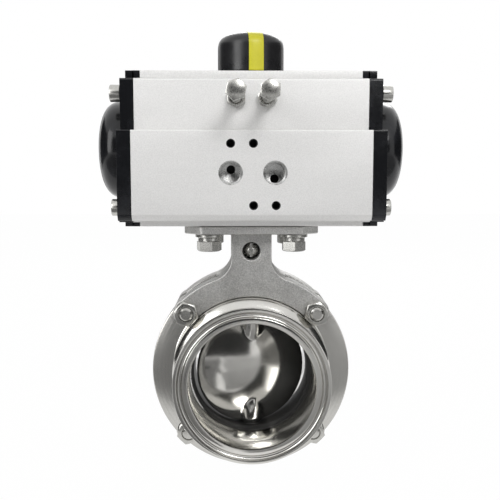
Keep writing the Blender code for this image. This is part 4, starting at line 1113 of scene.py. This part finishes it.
class VALVE_OT_actuator_body(PieceOperator, bpy.types.Operator):
    """Make the extruded actuator body with its ports and threaded holes"""

    bl_idname = "valve.actuator_body"
    bl_label = "Actuator body"

    def execute(self, context):
        sizes = context.scene.actuator_sizes
        half = sizes.half_length
        body = Form().slab(body_section(sizes), -half, half, "YZ").object("actuator_extrusion")
        ports = []
        holes = []
        for x, rise in PORTS:
            profile = mm([(0, -1.0), (6.75, -1.0), (6.75, 0.05), (6.3, 0.5)])
            profile += threads(6.35 * MM, 1.34 * MM, 0.9 * MM, 11.4 * MM, 0.75 * MM)
            profile += mm([(5.5, 12.0), (0, 13.2)])
            port = Form().turn(profile, (x, -sizes.pad, PORT_HEIGHT), "Y", MEDIUM)
            ports.append(port.object("port tool"))
            holes.append(drill(2.5 * MM, 2 * MM, 20 * MM, (x, -sizes.pad, PORT_HEIGHT + rise), "Y", 24))
        for x, rise in PAD_HOLES:
            profile = mm([(0, -1), (2.5, -1), (2.5, 0.05), (2.35, 0.25)])
            profile += threads(2.4 * MM, 0.8 * MM, 0.4 * MM, 8.4 * MM, 0.35 * MM)
            profile += mm([(2.0, 9.0), (0, 10)])
            spot = (x * MM, -sizes.pad, PORT_HEIGHT + rise * MM)
            holes.append(Form().turn(profile, spot, "Y", 32).object("hole tool"))
        carve(body, *ports, lining="bare")
        # The feed and pad holes are lined black: painted shade inside the holes.
        carve(body, *holes, lining="dark")
        dress(body, "anodised", "valve", "actuator_body", lining="bare")
        rails = Form()
        for outline in rail_bars(sizes, 0.6 * MM):
            rails.slab(outline, -half + sizes.setback, half - sizes.setback, "YZ")
        rails = rails.object("actuator_rails")
        floor = sizes.high - 0.4 * MM
        carve(rails, drill(sizes.dial + 0.6 * MM, floor, floor + 3 * MM, (0, 0, 0), "Z", FINE))
        dress(rails, "anodised", "valve", "actuator_body")
        return {"FINISHED"}


class VALVE_OT_end_caps(PieceOperator, bpy.types.Operator):
    """Make the two enamelled end caps and the screws that hold them"""

    bl_idname = "valve.end_caps"
    bl_label = "End caps"

    def execute(self, context):
        sizes = context.scene.actuator_sizes
        start = sizes.half_length + GAP
        end = start + sizes.cap
        for name, side in SIDES:
            node = f"{name}_end_cap"
            span = sorted((side * start, side * end))
            plate = Form().slab(body_section(sizes), *span, "YZ").object(f"{name}_cap_plate")
            soften(plate, 0.9 * MM, 60)
            dress(plate, "enamel", "valve", node)
            lips = Form()
            reach = sorted((side * (start + 0.2 * MM), side * (end - 2.5 * MM)))
            for outline in rail_bars(sizes, 0.8 * MM):
                lips.slab(outline, *reach, "YZ")
            dress(lips.object(f"{name}_cap_ribs"), "enamel", "valve", node)
            fronts = Form()
            reach = sorted((side * (start - sizes.setback), side * (start + 1 * MM)))
            shoulder = sizes.high - sizes.rail + GAP
            fronts.slab(bar(TOP_RAIL, shoulder, sizes.high, 0.5 * MM), *reach, "YZ")
            fronts.slab(bar(FOOT_RAIL, sizes.low, sizes.low + 2.5 * MM, 0.5 * MM), *reach, "YZ")
            dress(fronts.object(f"{name}_cap_lips"), "enamel", "valve", node)
            outward = "X" if side > 0 else "-X"
            dome = Form().turn(self.dome_profile(sizes, start, end), (0, 0, sizes.axis), outward, FINEST)
            dress(dome.object(f"{name}_cap_dome"), "enamel", "valve", node)
            self.screws(sizes, name, side * (end + GAP), outward)
        return {"FINISHED"}

    def dome_profile(self, sizes, start, end):
        foot = sizes.dome + 0.9 * MM
        lift = 0.5 * MM
        points = [(0, start + 5 * MM), (foot, start + 5 * MM), (foot, end),
                  (sizes.dome + 0.25 * MM, end + 0.3 * MM)]
        bulge = crown(sizes.dome, sizes.dome_rise - lift, 24)
        return points + [(radius, end + lift + rise) for radius, rise in bulge]

    def screws(self, sizes, name, seat, outward):
        heights = (sizes.high - 13.0 * MM, sizes.low + 10.5 * MM)
        spots = [(sy * CAP_SCREW_OFFSET, z) for z in heights for sy in (-1, 1)]
        round_part = [(3, -22.5), (3, 0.0), (4.7, 0.0), (4.9, 0.25), (4.9, 5.4), (4.75, 5.8), (4.4, 6.0)]
        socket = [(5.2, 6.0), (5.0, 5.7), (5.0, 3.0)]
        rings = [(circle(radius, MEDIUM), height) for radius, height in mm(round_part)]
        rings += [(hexagon(flats, MEDIUM), height) for flats, height in mm(socket)]
        for index, (y, z) in enumerate(spots, 1):
            form = Form().stack(rings, (seat, y, z), outward, 0.3 * index)
            dress_steel(form, f"{name}_cap_screw_{index}")


class VALVE_OT_travel_stops(PieceOperator, bpy.types.Operator):
    """Make the two threaded stop bolts with their lock nuts"""

    bl_idname = "valve.travel_stops"
    bl_label = "Travel stops"

    def execute(self, context):
        sizes = context.scene.actuator_sizes
        wall = -sizes.upper
        seat = wall - 41.3 * MM
        tip = -12.8 * MM
        flats = 10 * MM
        for name, side in SIDES:
            x = side * sizes.stop_x
            spin = 0.30 if side < 0 else 0.52
            form = hex_head(4.6 * MM, flats, 4.0 * MM, (x, seat, sizes.stop_z), "-Y", spin)
            reach = tip - seat
            shank = [(0, 0.5 * MM), (3 * MM, 0.5 * MM), (3 * MM, -0.2 * MM)]
            shank += [(r, -h) for r, h in threads(3 * MM, 1.0 * MM, 0.3 * MM, reach - 1 * MM)]
            shank += [(2.2 * MM, -reach), (0, -reach)]
            form.turn(shank, (x, seat, sizes.stop_z), "-Y", MEDIUM)
            dress_steel(form, f"stop_bolt_{name}", "turned")
            spot = (x, wall - GAP, sizes.stop_z)
            nut = hex_nut(3.1 * MM, 3.4 * MM, flats, 5.0 * MM, spot, spin + 0.25)
            dress_steel(nut, f"stop_nut_{name}", "turned")
        return {"FINISHED"}


class VALVE_OT_indicator(PieceOperator, bpy.types.Operator):
    """Make the position indicator and its stripe"""

    bl_idname = "valve.indicator"
    bl_label = "Position indicator"

    def execute(self, context):
        sizes = context.scene.actuator_sizes
        base = sizes.high + 0.9 * MM
        turn = Matrix.Rotation(math.radians(REST_TURN + STRIPE_TURN), 4, "Z")
        outer = self.profile(sizes, base, 0.0)
        hollow = [(17.2 * MM, base), (17.2 * MM, base + 12 * MM), (0, base + 12 * MM)]
        cap = Form().turn(outer + hollow).object("indicator_moulding")
        half = sizes.stripe / 2
        groove = Form().slab(self.strap(sizes, base, 0.8 * MM, -1.2 * MM, 2 * MM), -half - 0.15 * MM,
                             half + 0.15 * MM, "YZ").object("groove tool")
        carve(cap, groove)
        cap.data.transform(turn)
        dress(cap, "dial", "spindle", "indicator_cap")
        stripe = Form().slab(self.strap(sizes, base, 1.2 * MM, -1.0 * MM, 0.0), -half, half, "YZ")
        stripe = stripe.object("indicator_stripe_moulding")
        limit = self.profile(sizes, base, 0.12 * MM)
        shape = Form().turn(limit + [(0, base)]).object("stripe limit tool")
        carve(stripe, shape, operation="INTERSECT")
        stripe.data.transform(turn)
        dress(stripe, "stripe", "spindle", "indicator_stripe")
        return {"FINISHED"}

    def profile(self, sizes, base, grow):
        """Section of the indicator from its top centre down to its lower edge."""
        radius = sizes.dial + grow
        shoulder = base + 13.8 * MM
        top = crown(radius, 10.2 * MM + grow, 22)
        points = [(across, shoulder + rise) for across, rise in reversed(top)]
        return points + [(radius, base + 0.5 * MM), (radius - 0.4 * MM, base)]

    def strap(self, sizes, base, outside, inside, below):
        """Outline of a strap over the indicator, in Y and Z."""
        outer = self.profile(sizes, base, outside)
        inner = self.profile(sizes, base, inside)
        outer[-1] = (outer[-1][0], outer[-1][1] - below)
        inner[-1] = (inner[-1][0], inner[-1][1] - below)
        over = mirrored(outer[1:]) + outer
        return over + inner[::-1] + [(-y, z) for y, z in inner[1:]]


class VALVE_OT_inner_parts(PieceOperator, bpy.types.Operator):
    """Give the pieces inside the actuator and the neck their finishes"""

    bl_idname = "valve.inner_parts"
    bl_label = "Inner parts"

    def execute(self, context):
        looks = {
            "shaft": ("stem", "pinion", "stop_cam", "retaining_ring"),
            "anodised": ("left_piston", "right_piston"),
            "rubber": ("stem_seal", "left_piston_ring", "right_piston_ring"),
            "bearing": ("neck_bush", "upper_stem_bush", "lower_stem_bush", "left_piston_pad",
                        "right_piston_pad", "lower_shaft_bearing", "upper_shaft_bearing"),
        }
        for look, nodes in looks.items():
            for node in nodes:
                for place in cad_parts[node].material_slots:
                    place.material = finish(look)
        return {"FINISHED"}


class VALVE_PT_panel(bpy.types.Panel):
    """Lists the steps that dress the valve"""

    bl_idname = "VALVE_PT_panel"
    bl_label = "Valve"
    bl_space_type = "VIEW_3D"
    bl_region_type = "UI"
    bl_category = "Valve"

    def draw(self, context):
        for group in ("valve_sizes", "actuator_sizes", "valve_colours"):
            settings = getattr(context.scene, group)
            column = self.layout.column(align=True)
            for name in settings.__annotations__:
                column.prop(settings, name)
        for step in STEPS:
            self.layout.operator(step.bl_idname)


GROUPS = {"valve_sizes": ValveSizes, "actuator_sizes": ActuatorSizes, "valve_colours": ValveColours}
STEPS = (
    VALVE_OT_stage, VALVE_OT_body_halves, VALVE_OT_seat, VALVE_OT_disc, VALVE_OT_bracket,
    VALVE_OT_lock_screw, VALVE_OT_body_bolts, VALVE_OT_mount_bolts, VALVE_OT_actuator_body,
    VALVE_OT_end_caps, VALVE_OT_travel_stops, VALVE_OT_indicator, VALVE_OT_inner_parts,
)


def register():
    for group in GROUPS.values():
        bpy.utils.register_class(group)
    for step in STEPS:
        bpy.utils.register_class(step)
    bpy.utils.register_class(VALVE_PT_panel)
    for name, group in GROUPS.items():
        setattr(bpy.types.Scene, name, bpy.props.PointerProperty(type=group))


def unregister():
    for name in GROUPS:
        delattr(bpy.types.Scene, name)
    bpy.utils.unregister_class(VALVE_PT_panel)
    for step in reversed(STEPS):
        bpy.utils.unregister_class(step)
    for group in GROUPS.values():
        bpy.utils.unregister_class(group)


def main():
    register()
    bpy.ops.valve.stage()
    bpy.ops.valve.body_halves()
    bpy.ops.valve.seat()
    bpy.ops.valve.disc()
    bpy.ops.valve.bracket()
    bpy.ops.valve.lock_screw()
    bpy.ops.valve.body_bolts()
    bpy.ops.valve.mount_bolts()
    bpy.ops.valve.actuator_body()
    bpy.ops.valve.end_caps()
    bpy.ops.valve.travel_stops()
    bpy.ops.valve.indicator()
    bpy.ops.valve.inner_parts()


if __name__ == "__main__":
    main()
